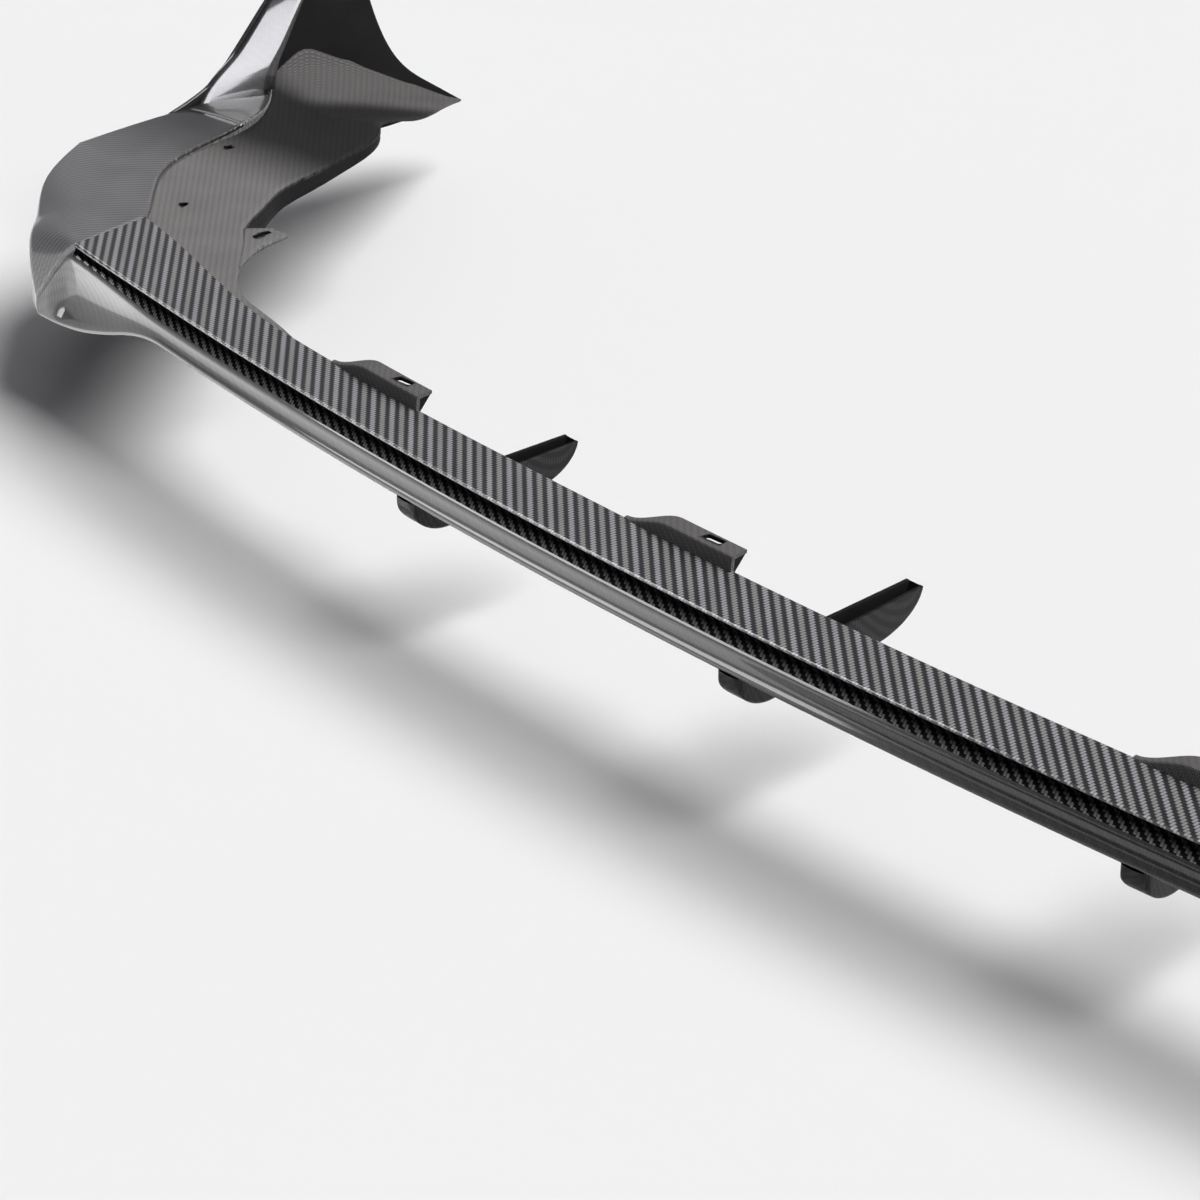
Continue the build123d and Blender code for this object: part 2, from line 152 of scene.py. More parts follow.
TAB_THICKNESS = 0.002
TAB_DEPTH = 0.0085
TAB_LENGTH = 0.043
TAB_FADE = 0.031
SLOT_LENGTH = 0.012
SLOT_WIDTH = 0.004
SLOT_FROM_END = 0.018
TAB_ROOT = 0.001
TAB_LEAST = 0.0006
TAB_ENDS = {"outer": -0.4975, "inner": -0.2675}
CENTRE_TAB_END = 0.043
TAB_CUTS = (0.0004, 0.0012, 0.0005, 0.0005, 0.0006, 0.0004)
TAB_END_CUTS = (0.0003,) * 5
TAB_END_INSET = 0.0003
TAB_END_BELOW = 0.0004
TAB_END_PAST = 0.0005
TAB_SLOT_LIFT = 0.003

FIN_REAR_WIDTH = 0.0155
FIN_FRONT_WIDTH = 0.011
FIN_FRONT = 0.130
FIN_WALL = 0.002
FIN_NOSE = 0.024
FIN_SWEEP = 0.036
FIN_BOW = 0.0042
FIN_CUTS = (0.0004, 0.0018, 0.0018, 0.0004, 0.0004, 0.001, 0.001, 0.0004)
FIN_LEAST = 0.0004
FIN_LEAST_INSIDE = 0.0006
FIN_LEAST_HOLLOW = 0.0002
FIN_PLACES = {
    "fin_left_outer": -0.466,
    "fin_left_inner": -0.233,
    "fin_centre": 0.0,
    "fin_right_inner": 0.233,
    "fin_right_outer": 0.466,
}

# Blade rows: share out to the side, share forward to the corner, drop of the edge, forward place of
# the row's inner end, and the power by which the drop fades.
BLADE_ROWS = np.array([
    (0.0, 0.0, 0.042, 0.079, 1.3),
    (0.18, 0.09, 0.022, 0.088, 2.0),
    (0.50, 0.35, 0.015, 0.108, 2.6),
    (0.83, 0.64, 0.009, 0.131, 3.0),
    (1.0, 1.0, 0.0015, BLADE_CORNER, 4.0),
])
# Along the side: forward place, how far the row starts inside the side, and drop.
SIDE_ROWS = np.array([
    (BLADE_CORNER, 0.0, 0.0015),
    (0.215, 0.0, 0.0020),
    (0.242, 0.0, 0.003),
    (BLADE_END, 0.0, 0.004),
])
END_ROWS = np.array([
    (BLADE_END, 0.0, 0.004),
    (0.283, 0.004, 0.0045),
    (0.302, 0.009, 0.006),
    (FACET_START, 0.0145, 0.007),
])
STEP_LINE = MM * np.array([
    (-787.5, 131), (-800, 145), (-820, 166), (-837, 189), (-845, 214), (-852, 255), (-862, 284),
    (-875, 305), (-888, 319),
])
# Free edge of the mounting flange, each point with the one that it faces on the inner side.
FLANGE_PAIRS = MM * np.array([
    (-566, 72, -566, 72), (-598, 77, -600, 79), (-630, 80, -630, 89), (-664, 92, -663, 98),
    (-690, 99, -685, 108), (-716, 107, -701, 124), (-750, 118, -725, 150), (-787.5, 131, -741, 164),
    (-800, 145, -756, 191), (-820, 166, -768, 216), (-837, 189, -772, 240), (-845, 220, -774, 256),
    (-853, 262, -778, 280), (-875, 305, -783, 302), (-888, 319, -792, 318), (-903, 322, -803, 329),
    (-903, 360, -822, 360), (-903, 400, -842, 394), (-903, 440, -866, 436), (-903, 470, -884, 466),
    (-903, 495, -902, 495),
])
REAR_EDGE = np.array([(0.0, 0.0), (0.12, 0.053), (0.306, 0.23), (0.53, 0.5), (1.0, 1.0)])
ARCH_EDGE = MM * np.array([(398, 95), (417, 24), (429, -5), (444, -26), (468, -45), (496.5, -65)])
# Facet levels: share along the rear edge, share of the upright's height, width forward.
FACET_LEVELS = np.array([
    (-0.03, -0.17, 0.058), (0.1, 0.04, 0.045), (0.306, 0.23, 0.029), (0.53, 0.5, 0.018),
    (1.0, 1.0, 0.005),
])
SIDE_TAB_OUTER = MM * np.array([(-701, 124), (-713, 146), (-716, 161), (-716, 174)])
SIDE_TAB_INNER = MM * np.array([(-704, 126), (-725, 149), (-741, 163), (-730, 174)])
CORNER_HOLES = MM * np.array([(-792, 163), (-839, 239), (-813, 356)])
SIDE_TAB_SLOT = (-0.727, 0.164)
SIDE_TAB_LIFT = 0.0003

# Grids: points that a rounded corner takes in an outline, points added along the front band, points of
# the flange's inner edge along the strip, the step and the side wall, the first pair that lies at that
# wall, and the powers that crowd a grid's points towards its outer edge.
STRIP_SECTIONS = 329
NOSE_SECTIONS = 25
CORNER_POINTS = 7
BAND_POINTS = 9
STRIP_PLACES = 40
STEP_PLACES = 46
WALL_PLACES = 40
WALL_PAIR = 14
BLADE_CROWDING = 1.5
END_CROWDING = 1.3
FLANGE_CROWDING = 1.35
MERGE = 0.000002
SHARP_ANGLE = 38.0

# How far corners are cut back to round them, and how far outside a rounding the next point lies.
MARGIN = 0.0005
EDGE_CUT = 0.0006
RECESS_CUT = 0.0012
HEM_CUT = 0.0022
INSIDE_CUT = 0.0008

# Factors on the cloth's colour: painted highlights, painted reflections and painted shade, and the
# tabs' darker tone
FOLD_PAINTED_HIGHLIGHT = 1.25
RECESS_PAINTED_SHADOW = 0.05
RECESS_PAINTED_LIGHT_GAIN = 2.2
SCOOP_PAINTED_HIGHLIGHT = 6.0
RIM_PAINTED_HIGHLIGHT = 0.9 * SCOOP_PAINTED_HIGHLIGHT
SCOOP_FOOT_PAINTED_SHADE = 0.4
SCOOP_FOOT_PAINTED_LIGHT_OUT = 2.6
SCOOP_POINTS = 13
TAB_SHADE = 0.7
BLADE_PAINTED_SHADE = 0.78
BLADE_SHADE_START = 0.175
BLADE_SHADE_LENGTH = 0.085
FLANGE_PAINTED_SHADE = 0.88
FLANGE_SHADE_START = 0.205
FLANGE_SHADE_LENGTH = 0.065
FOOT_PAINTED_REFLECTION = 0.62
FOOT_REFLECTION_WIDTH = 0.050
FOOT_REFLECTION_FADE = 0.020
FOOT_REFLECTION_START = 0.315
FOOT_REFLECTION_LENGTH = 0.030

# Cloths: unevenness, roughness, weight of the clear coat, strength of the relief and refraction.
CLOTHS = {
    "polished cloth": (0.35, 0.42, 1.0, 0.25, 1.45),
    "fine cloth": (0.35, 0.40, 1.0, 0.20, 1.45),
    "rolled cloth": (0.20, 0.38, 1.0, 0.0, 1.35),
    "recess cloth": (0.35, 0.60, 0.0, 0.20, 1.02),
    "strake cloth": (0.35, 0.50, 0.25, 0.20, 1.2),
    "raw cloth": (0.30, 0.62, 0.0, 0.08, 1.15),
}
# Painted shade across each tow: its colour is most at the crown and least at the edges.
CROWN_PAINTED_LIGHT = 0.90
TOW_EDGE_PAINTED_SHADE = 0.30
PATCH_SCALE = 45.0
PATCH_ROUGHNESS = 0.2
TOW_RELIEF = 0.0002
COAT_ROUGHNESS = 0.09
GRAIN_SCALE = 420.0
GRAIN_RELIEF = 0.0004
STREAK_SCALE = 38.0
STREAK_LIGHT = 2.6

# Studio: lamps that light the floor, by size in degrees and direction, and softboxes by direction,
# distance, width, height, brightness and colour.
SUNS = {"overhead": (60.0, (0.0, 0.2, 1.0)), "window": (38.0, (0.55, 0.30, 1.0))}
SOFTBOXES = {
    "fold softbox": ((-0.6, 0.0, 0.8), 3.0, 1.3, 0.9, 7.0, (0.95, 0.94, 1.0)),
    "band softbox": ((-0.71, -0.709, 0.15), 3.0, 1.3, 0.7, 8.0, (1.0, 1.0, 1.0)),
    "facet softbox": ((0.93, -0.08, 0.34), 2.6, 2.6, 2.6, 14.0, (0.96, 0.95, 1.0)),
    "corner softbox": ((-0.81, 0.20, 0.55), 3.0, 1.1, 0.9, 2.0, (1.0, 1.0, 1.0)),
    "floor panel": ((0.0, 0.0, 1.0), 1.0, 0.70, 0.60, 1.5, (1.0, 1.0, 1.0)),
}
SOFTBOX_TARGET = (-0.3, -0.1, TOP_Z)
PANEL_PLACE = (-0.755, -0.50)
PANEL_TURN = -17.6
PANEL_LIFT = 0.002
FLAG_ACROSS = (-0.40, 0.70)
FLAG_FORWARD = (-1.00, -0.44)
FLAG_LIFT = 0.001
FLOOR_REACH = 6.0
FLOOR_MOTTLE = 0.985
WALL_TURN = -0.4
WALL_LEVEL = 0.6
WALL_BLUE = 1.08
CAMERA_PLACE = (0.7633, -1.3871, 0.9169)
CAMERA_TILT = 61.1
CAMERA_TURN = 43.3
CAMERA_LENS = 114.36


class LipSizes(bpy.types.PropertyGroup):
    """Sizes that change the look of the moulding"""

    wall: bpy.props.FloatProperty(
        name="Wall", description="Thickness of the laminate", default=0.0024, unit="LENGTH", precision=4
    )
    fold_round: bpy.props.FloatProperty(
        name="Fold rounding", description="How far the long fold is cut back to round it",
        default=0.0022, unit="LENGTH", precision=4,
    )
    line_round: bpy.props.FloatProperty(
        name="Line rounding", description="How far the edge under the recess is cut back to round it",
        default=0.0014, unit="LENGTH", precision=4,
    )
    scoop_depth: bpy.props.FloatProperty(
        name="Scoop depth", description="Depth of the hollow in each corner's nose",
        default=0.0045, unit="LENGTH", precision=4,
    )
    tab_rise: bpy.props.FloatProperty(
        name="Tab rise", description="Height of the raised tabs above the strip",
        default=0.008, unit="LENGTH", precision=4,
    )
    strake_depth: bpy.props.FloatProperty(
        name="Strake depth", description="Height of the strakes under the lip",
        default=0.020, unit="LENGTH", precision=4,
    )


class LipFinish(bpy.types.PropertyGroup):
    """Colours and weave of the laminate"""

    tow_pitch: bpy.props.FloatProperty(
        name="Tow pitch", description="Distance between neighbouring tows of the polished cloth",
        default=0.00173, unit="LENGTH", precision=5,
    )
    fine_pitch: bpy.props.FloatProperty(
        name="Fine tow pitch", description="Distance between tows of the finer cloth on the blades",
        default=0.0012, unit="LENGTH", precision=5,
    )
    # The tow colours below carry a painted sheen: one black fibre, its tows of one direction painted
    # lit and the crossing ones painted shaded.
    sheen_lit_tow: bpy.props.FloatVectorProperty(
        name="Light tows", description="Colour of the tows that face the light",
        default=(0.285, 0.282, 0.295), subtype="COLOR", min=0.0, max=1.0,
    )
    warm_sheen_lit_tow: bpy.props.FloatVectorProperty(
        name="Warm tows", description="Colour of every second light line",
        default=(0.245, 0.235, 0.230), subtype="COLOR", min=0.0, max=1.0,
    )
    sheen_shaded_tow: bpy.props.FloatVectorProperty(
        name="Dark tows", description="Colour of the tows that cross under the light ones",
        default=(0.010, 0.010, 0.012), subtype="COLOR", min=0.0, max=1.0,
    )
    blade_sheen_lit: bpy.props.FloatVectorProperty(
        name="Blade cloth, light", description="Light tows of the finer cloth on the blades",
        default=(0.20, 0.195, 0.20), subtype="COLOR", min=0.0, max=1.0,
    )
    blade_sheen_shaded: bpy.props.FloatVectorProperty(
        name="Blade cloth, dark", description="Dark tows of the finer cloth on the blades",
        default=(0.11, 0.108, 0.112), subtype="COLOR", min=0.0, max=1.0,
    )
    rolled_sheen_lit: bpy.props.FloatVectorProperty(
        name="Rolled cloth, light",
        description="Light tows of the cloth that is rolled over upright faces",
        default=(0.020, 0.0195, 0.0195), subtype="COLOR", min=0.0, max=1.0,
    )
    rolled_sheen_shaded: bpy.props.FloatVectorProperty(
        name="Rolled cloth, dark",
        description="Dark tows of the cloth that is rolled over upright faces",
        default=(0.013, 0.0128, 0.013), subtype="COLOR", min=0.0, max=1.0,
    )
    recess_sheen_lit: bpy.props.FloatVectorProperty(
        name="Recess cloth, light",
        description="Light tows of the cloth in the recess under the fold",
        default=(0.215, 0.205, 0.200), subtype="COLOR", min=0.0, max=1.0,
    )
    raw_sheen_lit: bpy.props.FloatVectorProperty(
        name="Raw cloth, light", description="Light tows of the unpolished mounting flange",
        default=(0.200, 0.193, 0.190), subtype="COLOR", min=0.0, max=1.0,
    )
    raw_sheen_shaded: bpy.props.FloatVectorProperty(
        name="Raw cloth, dark", description="Dark tows of the unpolished mounting flange",
        default=(0.170, 0.165, 0.163), subtype="COLOR", min=0.0, max=1.0,
    )
    back_colour: bpy.props.FloatVectorProperty(
        name="Rough back", description="Colour of the resin-rich inner face of the laminate",
        default=(0.006, 0.0055, 0.006), subtype="COLOR", min=0.0, max=1.0,
    )


class StudioLook(bpy.types.PropertyGroup):
    """Floor, background and lamps"""

    floor_height: bpy.props.FloatProperty(
        name="Floor height", description="Height of the studio floor",
        default=-0.046, unit="LENGTH", precision=3,
    )
    floor_colour: bpy.props.FloatVectorProperty(
        name="Floor colour", description="Colour of the studio floor",
        default=(0.80, 0.80, 0.80), subtype="COLOR", min=0.0, max=1.0,
    )
    background: bpy.props.FloatProperty(
        name="Background", description="Brightness of the background behind the floor",
        default=0.88, min=0.0, max=1.0,
    )
    overhead: bpy.props.FloatProperty(
        name="Overhead light", description="Strength of the large light above", default=0.2, min=0.0
    )
    window: bpy.props.FloatProperty(
        name="Window light", description="Strength of the light from behind on the right",
        default=3.55, min=0.0,
    )
    ambient: bpy.props.FloatProperty(
        name="Ambient light", description="Brightness of the studio's walls", default=0.15, min=0.0
    )


def smooth(share):
    """Eased step from 0 to 1: three times the square less twice the cube."""
    share = np.clip(share, 0.0, 1.0)
    return share * share * (3.0 - 2.0 * share)


def fold_line(x):
    """Forward distance of the fold: a power of the distance from the middle."""
    return FOLD_SWEEP * (np.abs(x) / CREASE_X) ** FOLD_POWER


def strip_edge(x):
    """Forward distance of the strip's inner edge: narrower outboard, flared at the corner."""
    waist = STRIP_WAIST * smooth((np.abs(x) - WAIST_START) / WAIST_LENGTH)
    flare = STRIP_FLARE * smooth((np.abs(x) - CREASE_X + FLARE_LENGTH) / FLARE_LENGTH)
    return fold_line(x) + STRIP_WIDTH - waist + flare


def lip_height(x):
    """Height of the rolled lip, eased from its plain height to the nose's, whose outer corner is cut
    away by a power of the share past the cut's start."""
    nose = smooth((np.abs(x) - NOSE_START) / (NOSE_X - NOSE_START))
    past = np.clip((np.abs(x) - NOSE_CUT_START) / (NOSE_X - NOSE_CUT_START), 0.0, 1.0)
    cut = NOSE_CUT * past**NOSE_CUT_POWER
    return LIP_HEIGHT + (NOSE_HEIGHT - LIP_HEIGHT) * nose - cut


def scoop_painted_light(down, outboard):
    """Factor on the colour in the nose's scoop: a painted highlight at its upper edge, painted shade at
    its foot, and less painted shade outboard."""
    foot = SCOOP_FOOT_PAINTED_SHADE + SCOOP_FOOT_PAINTED_LIGHT_OUT * outboard
    return SCOOP_PAINTED_HIGHLIGHT + (foot - SCOOP_PAINTED_HIGHLIGHT) * smooth(down)


def settled(x):
    """How far the lip's front falls behind the fold's sweep near the corner: a square of the distance
    past its start, so that it runs smoothly on into the nose."""
    past = np.clip(np.abs(x) - SETTLE_START, 0.0, None)
    return NOSE_SETTLE * (past / (CREASE_X - SETTLE_START)) ** 2


def lip_terms(x, forward, up):
    """Points in the part's frame from distances across, forward of the fold's middle and up."""
    x, forward, up = np.broadcast_arrays(x, forward, up)
    return np.stack((x, forward + FOLD_Y, up + TOP_Z), axis=-1)


def on_cloth(across, along):
    """Places on the flat cloth, which become the UV map, from two distances on it."""
    return np.stack(np.broadcast_arrays(across, along), axis=-1)


def section(rows):
    """Corners of sections, one section after the other, from each corner's forward and up values."""
    return np.stack([np.stack(row, axis=-1) for row in rows], axis=1)


def run_along(path):
    """Distance run along a path of points, from 0 at its first."""
    runs = np.cumsum(np.linalg.norm(np.diff(path, axis=-2), axis=-1), axis=-1)
    return np.concatenate((np.zeros((*runs.shape[:-1], 1)), runs), axis=-1)


def spline(points, shares):
    """Natural cubic spline through points, at shares of its length; the first two columns measure it.

    Each span is the straight line between its ends plus two cubic terms, whose bends come from one
    linear system that makes the slope run on from span to span.
    """
    points = np.asarray(points, float)
    spans = np.linalg.norm(np.diff(points[:, :2], axis=0), axis=1)
    knots = np.concatenate(([0.0], np.cumsum(spans))) / spans.sum()
    step = np.diff(knots)
    inner = np.arange(1, len(points) - 1)
    system = np.eye(len(points))
    system[inner, inner - 1] = step[:-1]
    system[inner, inner] = 2.0 * (step[:-1] + step[1:])
    system[inner, inner + 1] = step[1:]
    change = np.zeros_like(points)
    change[1:-1] = 6.0 * np.diff(np.diff(points, axis=0) / step[:, None], axis=0)
    bend = np.linalg.solve(system, change)
    span = np.clip(np.searchsorted(knots, shares, side="right") - 1, 0, len(step) - 1)
    ahead = ((shares - knots[span]) / step[span])[:, None]
    back = 1.0 - ahead
    curve = (back**3 - back) * bend[span] + (ahead**3 - ahead) * bend[span + 1]
    return back * points[span] + ahead * points[span + 1] + curve * step[span][:, None] ** 2 / 6.0


def rounded_outline(corners, cuts):
    """Closed outlines with rounded corners: each corner becomes a parabola between two points cut
    back along its sides, with one more point outside each to keep the sides flat in the shading."""
    before = np.roll(corners, 1, axis=1) - corners
    after = np.roll(corners, -1, axis=1) - corners
    back = np.linalg.norm(before, axis=2, keepdims=True)
    on = np.linalg.norm(after, axis=2, keepdims=True)
    cut = np.minimum(np.asarray(cuts)[None, :, None], 0.45 * np.minimum(back, on))
    start = corners + before / back * cut
    stop = corners + after / on * cut
    share = np.linspace(0.0, 1.0, CORNER_POINTS - 2)[None, None, :, None]
    arc = (1 - share) ** 2 * start[:, :, None] + share**2 * stop[:, :, None]
    arc = arc + 2 * share * (1 - share) * corners[:, :, None]
    lead = corners + before / back * np.minimum(cut + MARGIN, 0.49 * back)
    trail = corners + after / on * np.minimum(cut + MARGIN, 0.49 * on)
    path = np.concatenate((lead[:, :, None], arc, trail[:, :, None]), axis=2)
    return path.reshape(len(corners), -1, 2)


def with_between(outline, column, count):
    """Outline with count points added between a column and the next, evenly on the straight line."""
    share = (np.arange(1, count + 1) / (count + 1))[None, :, None]
    first = outline[:, column, None]
    between = first + (outline[:, column + 1, None] - first) * share
    return np.concatenate((outline[:, :column + 1], between, outline[:, column + 1:]), axis=1)


def around(outline):
    """Distance run along each closed outline, with one more column for the way back to its start."""
    return run_along(np.concatenate((outline, outline[:, :1]), axis=1))


def build_piece(name, points, cloth, materials, closed=False, outward=(0.0, 0.0, 1.0), marks=None,
                shade=None):
    """Mesh object over a grid of points, with its place on the flat cloth as the UV map.

    Neighbouring points are joined by quads. A closed grid joins its last column to its first and is
    capped at both ends. Its faces are turned so that its volume is positive; an open sheet's so that
    they face outward on the whole. marks gives each column's place in the list of materials, and
    shade the factor on each point's colour, which paints in highlights, reflections and shade.
    """
    rows, columns = points.shape[:2]
    spans = columns if closed else columns - 1
    row, column = np.meshgrid(np.arange(rows - 1), np.arange(spans), indexing="ij")
    beside = (column + 1) % columns
    quads = np.stack((row * columns + column, (row + 1) * columns + column,
                      (row + 1) * columns + beside, row * columns + beside), axis=-1).reshape(-1, 4)
    width = cloth.shape[1]
    first = row * width + column
    places = np.stack((first, first + width, first + width + 1, first + 1), axis=-1).reshape(-1, 4)
    flat = points.reshape(-1, 3)
    corners = flat[quads]
    normals = np.cross(corners[:, 2] - corners[:, 0], corners[:, 3] - corners[:, 1])
    if closed:
        facing = ((corners.mean(axis=1) - flat.mean(axis=0)) * normals).sum()
    else:
        facing = normals.sum(axis=0) @ np.array(outward)
    turned = facing < 0
    if turned:
        quads = quads[:, ::-1]
        places = places[:, ::-1]
    faces = quads.tolist()
    cloth_flat = cloth.reshape(-1, 2)
    loops = cloth_flat[places].reshape(-1, 2)
    if closed:
        for start, order in ((0, 1), ((rows - 1) * columns, -1)):
            ring = start + np.arange(columns)[::-order if turned else order]
            faces.append(ring.tolist())
            loops = np.concatenate((loops, flat[ring][:, 1:]))
    mesh = bpy.data.meshes.new(name)
    mesh.from_pydata(flat.tolist(), [], faces)
    layer = mesh.uv_layers.new(name="cloth")
    layer.data.foreach_set("uv", loops.astype(np.float32).ravel())
    for material in materials:
        mesh.materials.append(material)
    if marks is not None:
        numbers = np.zeros(len(faces), np.int32)
        numbers[:len(quads)] = np.asarray(marks, np.int32)[column.ravel()]
        mesh.polygons.foreach_set("material_index", numbers)
    # The shade layer: factors on the colour that paint in highlights, reflections and shade.
    depth = mesh.attributes.new("shade", "FLOAT", "POINT")
    level = np.ones(len(flat), np.float32) if shade is None else shade.astype(np.float32).ravel()
    depth.data.foreach_set("value", level)
    form = bmesh.new()
    form.from_mesh(mesh)
    bmesh.ops.remove_doubles(form, verts=form.verts, dist=MERGE)
    form.to_mesh(mesh)
    form.free()
    mesh.shade_smooth()
    mesh.set_sharp_from_angle(angle=math.radians(SHARP_ANGLE))
    piece = bpy.data.objects.new(name, mesh)
    bpy.context.scene.collection.objects.link(piece)
    return piece


def thicken(piece, thickness):
    """Gives a sheet its wall, inwards from its faces, with the last material on its back."""
    wall = piece.modifiers.new("wall", "SOLIDIFY")
    wall.thickness = thickness
    wall.offset = -1.0
    wall.thickness_clamp = 1.0
    wall.material_offset = len(piece.data.materials) - 1
    wall.material_offset_rim = 0
    return piece


def stadium(length, width, count=12):
    """Outline of a slot: two half circles joined by straight sides; a circle where both sizes agree."""
    angle = np.linspace(-math.pi / 2, math.pi / 2, count)
    along = width / 2 * np.cos(angle) + (length - width) / 2
    half = np.stack((along, width / 2 * np.sin(angle)), axis=-1)
    return np.concatenate((half, -half))


def cut_openings(piece, openings):
    """Cuts upright openings through a piece. Each is a place across and forward, a middle height,
    a length, a width and whether its length runs forward."""
    for x, forward, up, length, width, lengthwise in openings:
        outline = stadium(length, width)
        if lengthwise:
            outline = outline[:, ::-1] * (-1.0, 1.0)
        levels = np.array((up - CUTTER_REACH, up + CUTTER_REACH))[:, None]
        points = lip_terms(x + outline[None, :, 0], forward + outline[None, :, 1], levels)
        cloth = np.zeros((2, len(outline) + 1, 2))
        cutter = build_piece("cutter", points, cloth, [], closed=True)
        opening = piece.modifiers.new("opening", "BOOLEAN")
        opening.object = cutter
        opening.solver = "EXACT"
        depsgraph = bpy.context.evaluated_depsgraph_get()
        result = bpy.data.meshes.new_from_object(piece.evaluated_get(depsgraph))
        piece.modifiers.clear()
        old = piece.data
        piece.data = result
        result.name = piece.name
        bpy.data.meshes.remove(old)
        spare = cutter.data
        bpy.data.objects.remove(cutter)
        bpy.data.meshes.remove(spare)
    return piece


def mount(piece, node="lip"):
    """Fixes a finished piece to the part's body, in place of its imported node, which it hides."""
    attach(piece, "root")
    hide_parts(node)
    return piece


class Wiring:
    """Adds nodes to a tree; an input is joined to a socket or set to a value."""

    def __init__(self, tree):
        self.tree = tree
        self.count = 0

    def node(self, kind, inputs=None, **settings):
        """Node of a kind with its settings and its inputs, by name or number."""
        made = self.tree.nodes.new(kind)
        made.location = (180.0 * (self.count % 12), -220.0 * (self.count // 12))
        self.count += 1
        for key, value in settings.items():
            setattr(made, key, value)
        for key, value in (inputs or {}).items():
            if isinstance(value, bpy.types.NodeSocket):
                self.tree.links.new(value, made.inputs[key])
            else:
                made.inputs[key].default_value = value
        return made

    def math(self, operation, *values):
        """Result of a maths node on one, two or three values."""
        made = self.node("ShaderNodeMath", dict(enumerate(values)), operation=operation)
        return made.outputs[0]

    def mix(self, factor, first, second, blend="MIX"):
        """Colour mixed from two."""
        made = self.node("ShaderNodeMix", {0: factor, 6: first, 7: second}, data_type="RGBA",
                         blend_type=blend)
        return made.outputs[2]


def make_twill_group():
    """Node group of a two-by-two twill.

    The cloth is counted off in tows both ways. Where the two counts add up to 0 or 1 in every four, a
    light tow lies on top, and else a dark one: one black fibre, its sheen painted in as lit and shaded
    colours. Each is rounded across its width, with painted shade towards its edges. Every second
    light line is warm, and slow noise makes the cloth uneven.
    """
    tree = bpy.data.node_groups.new("twill weave", "ShaderNodeTree")
    # Light and Dark take the lit and shaded tow colours, the weave's painted sheen.
    taken = (("Cloth", "Vector"), ("Pitch", "Float"), ("Light", "Color"), ("Warm", "Color"),
             ("Dark", "Color"), ("Unevenness", "Float"))
    for name, kind in taken:
        tree.interface.new_socket(name, in_out="INPUT", socket_type=f"NodeSocket{kind}")
    for name, kind in (("Color", "Color"), ("Height", "Float"), ("Noise", "Float")):
        tree.interface.new_socket(name, in_out="OUTPUT", socket_type=f"NodeSocket{kind}")
    wiring = Wiring(tree)
    given = wiring.node("NodeGroupInput").outputs
    place = wiring.node("ShaderNodeSeparateXYZ", {0: given["Cloth"]}).outputs
    along = wiring.math("DIVIDE", place[0], given["Pitch"])
    across = wiring.math("DIVIDE", place[1], given["Pitch"])
    count = wiring.math("ADD", wiring.math("FLOOR", along), wiring.math("FLOOR", across))
    on_top = wiring.math("LESS_THAN", wiring.math("FLOORED_MODULO", count, 4.0), 2.0)
    line = wiring.math("FLOOR", wiring.math("DIVIDE", count, 4.0))
    second = wiring.math("FLOORED_MODULO", line, 2.0)
    crowns = []
    for way in (along, across):
        offset = wiring.math("SUBTRACT", wiring.math("FRACT", way), 0.5)
        crowns.append(wiring.math("MULTIPLY_ADD", wiring.math("MULTIPLY", offset, offset), -4.0, 1.0))
    light_part = wiring.math("MULTIPLY", on_top, crowns[0])
    dark_part = wiring.math("MULTIPLY", wiring.math("SUBTRACT", 1.0, on_top), crowns[1])
    crown = wiring.math("ADD", light_part, dark_part)
    light = wiring.mix(second, given["Light"], given["Warm"])
    tow = wiring.mix(on_top, given["Dark"], light)
    # Painted shade on each tow's rounding, darker towards its edges.
    shade = wiring.math("MULTIPLY_ADD", crown, CROWN_PAINTED_LIGHT, TOW_EDGE_PAINTED_SHADE)
    slow = wiring.node("ShaderNodeTexNoise", {"Vector": given["Cloth"], "Scale": PATCH_SCALE,
                                              "Detail": 3.0})
    swing = wiring.math("SUBTRACT", slow.outputs[0], 0.5)
    uneven = wiring.math("MULTIPLY_ADD", swing, given["Unevenness"], 1.0)
    grey = wiring.math("MULTIPLY", shade, uneven)
    level = wiring.node("ShaderNodeCombineColor", {0: grey, 1: grey, 2: grey}).outputs[0]
    colour = wiring.mix(1.0, tow, level, "MULTIPLY")
    wiring.node("NodeGroupOutput", {"Color": colour, "Height": crown, "Noise": slow.outputs[0]})
    return tree


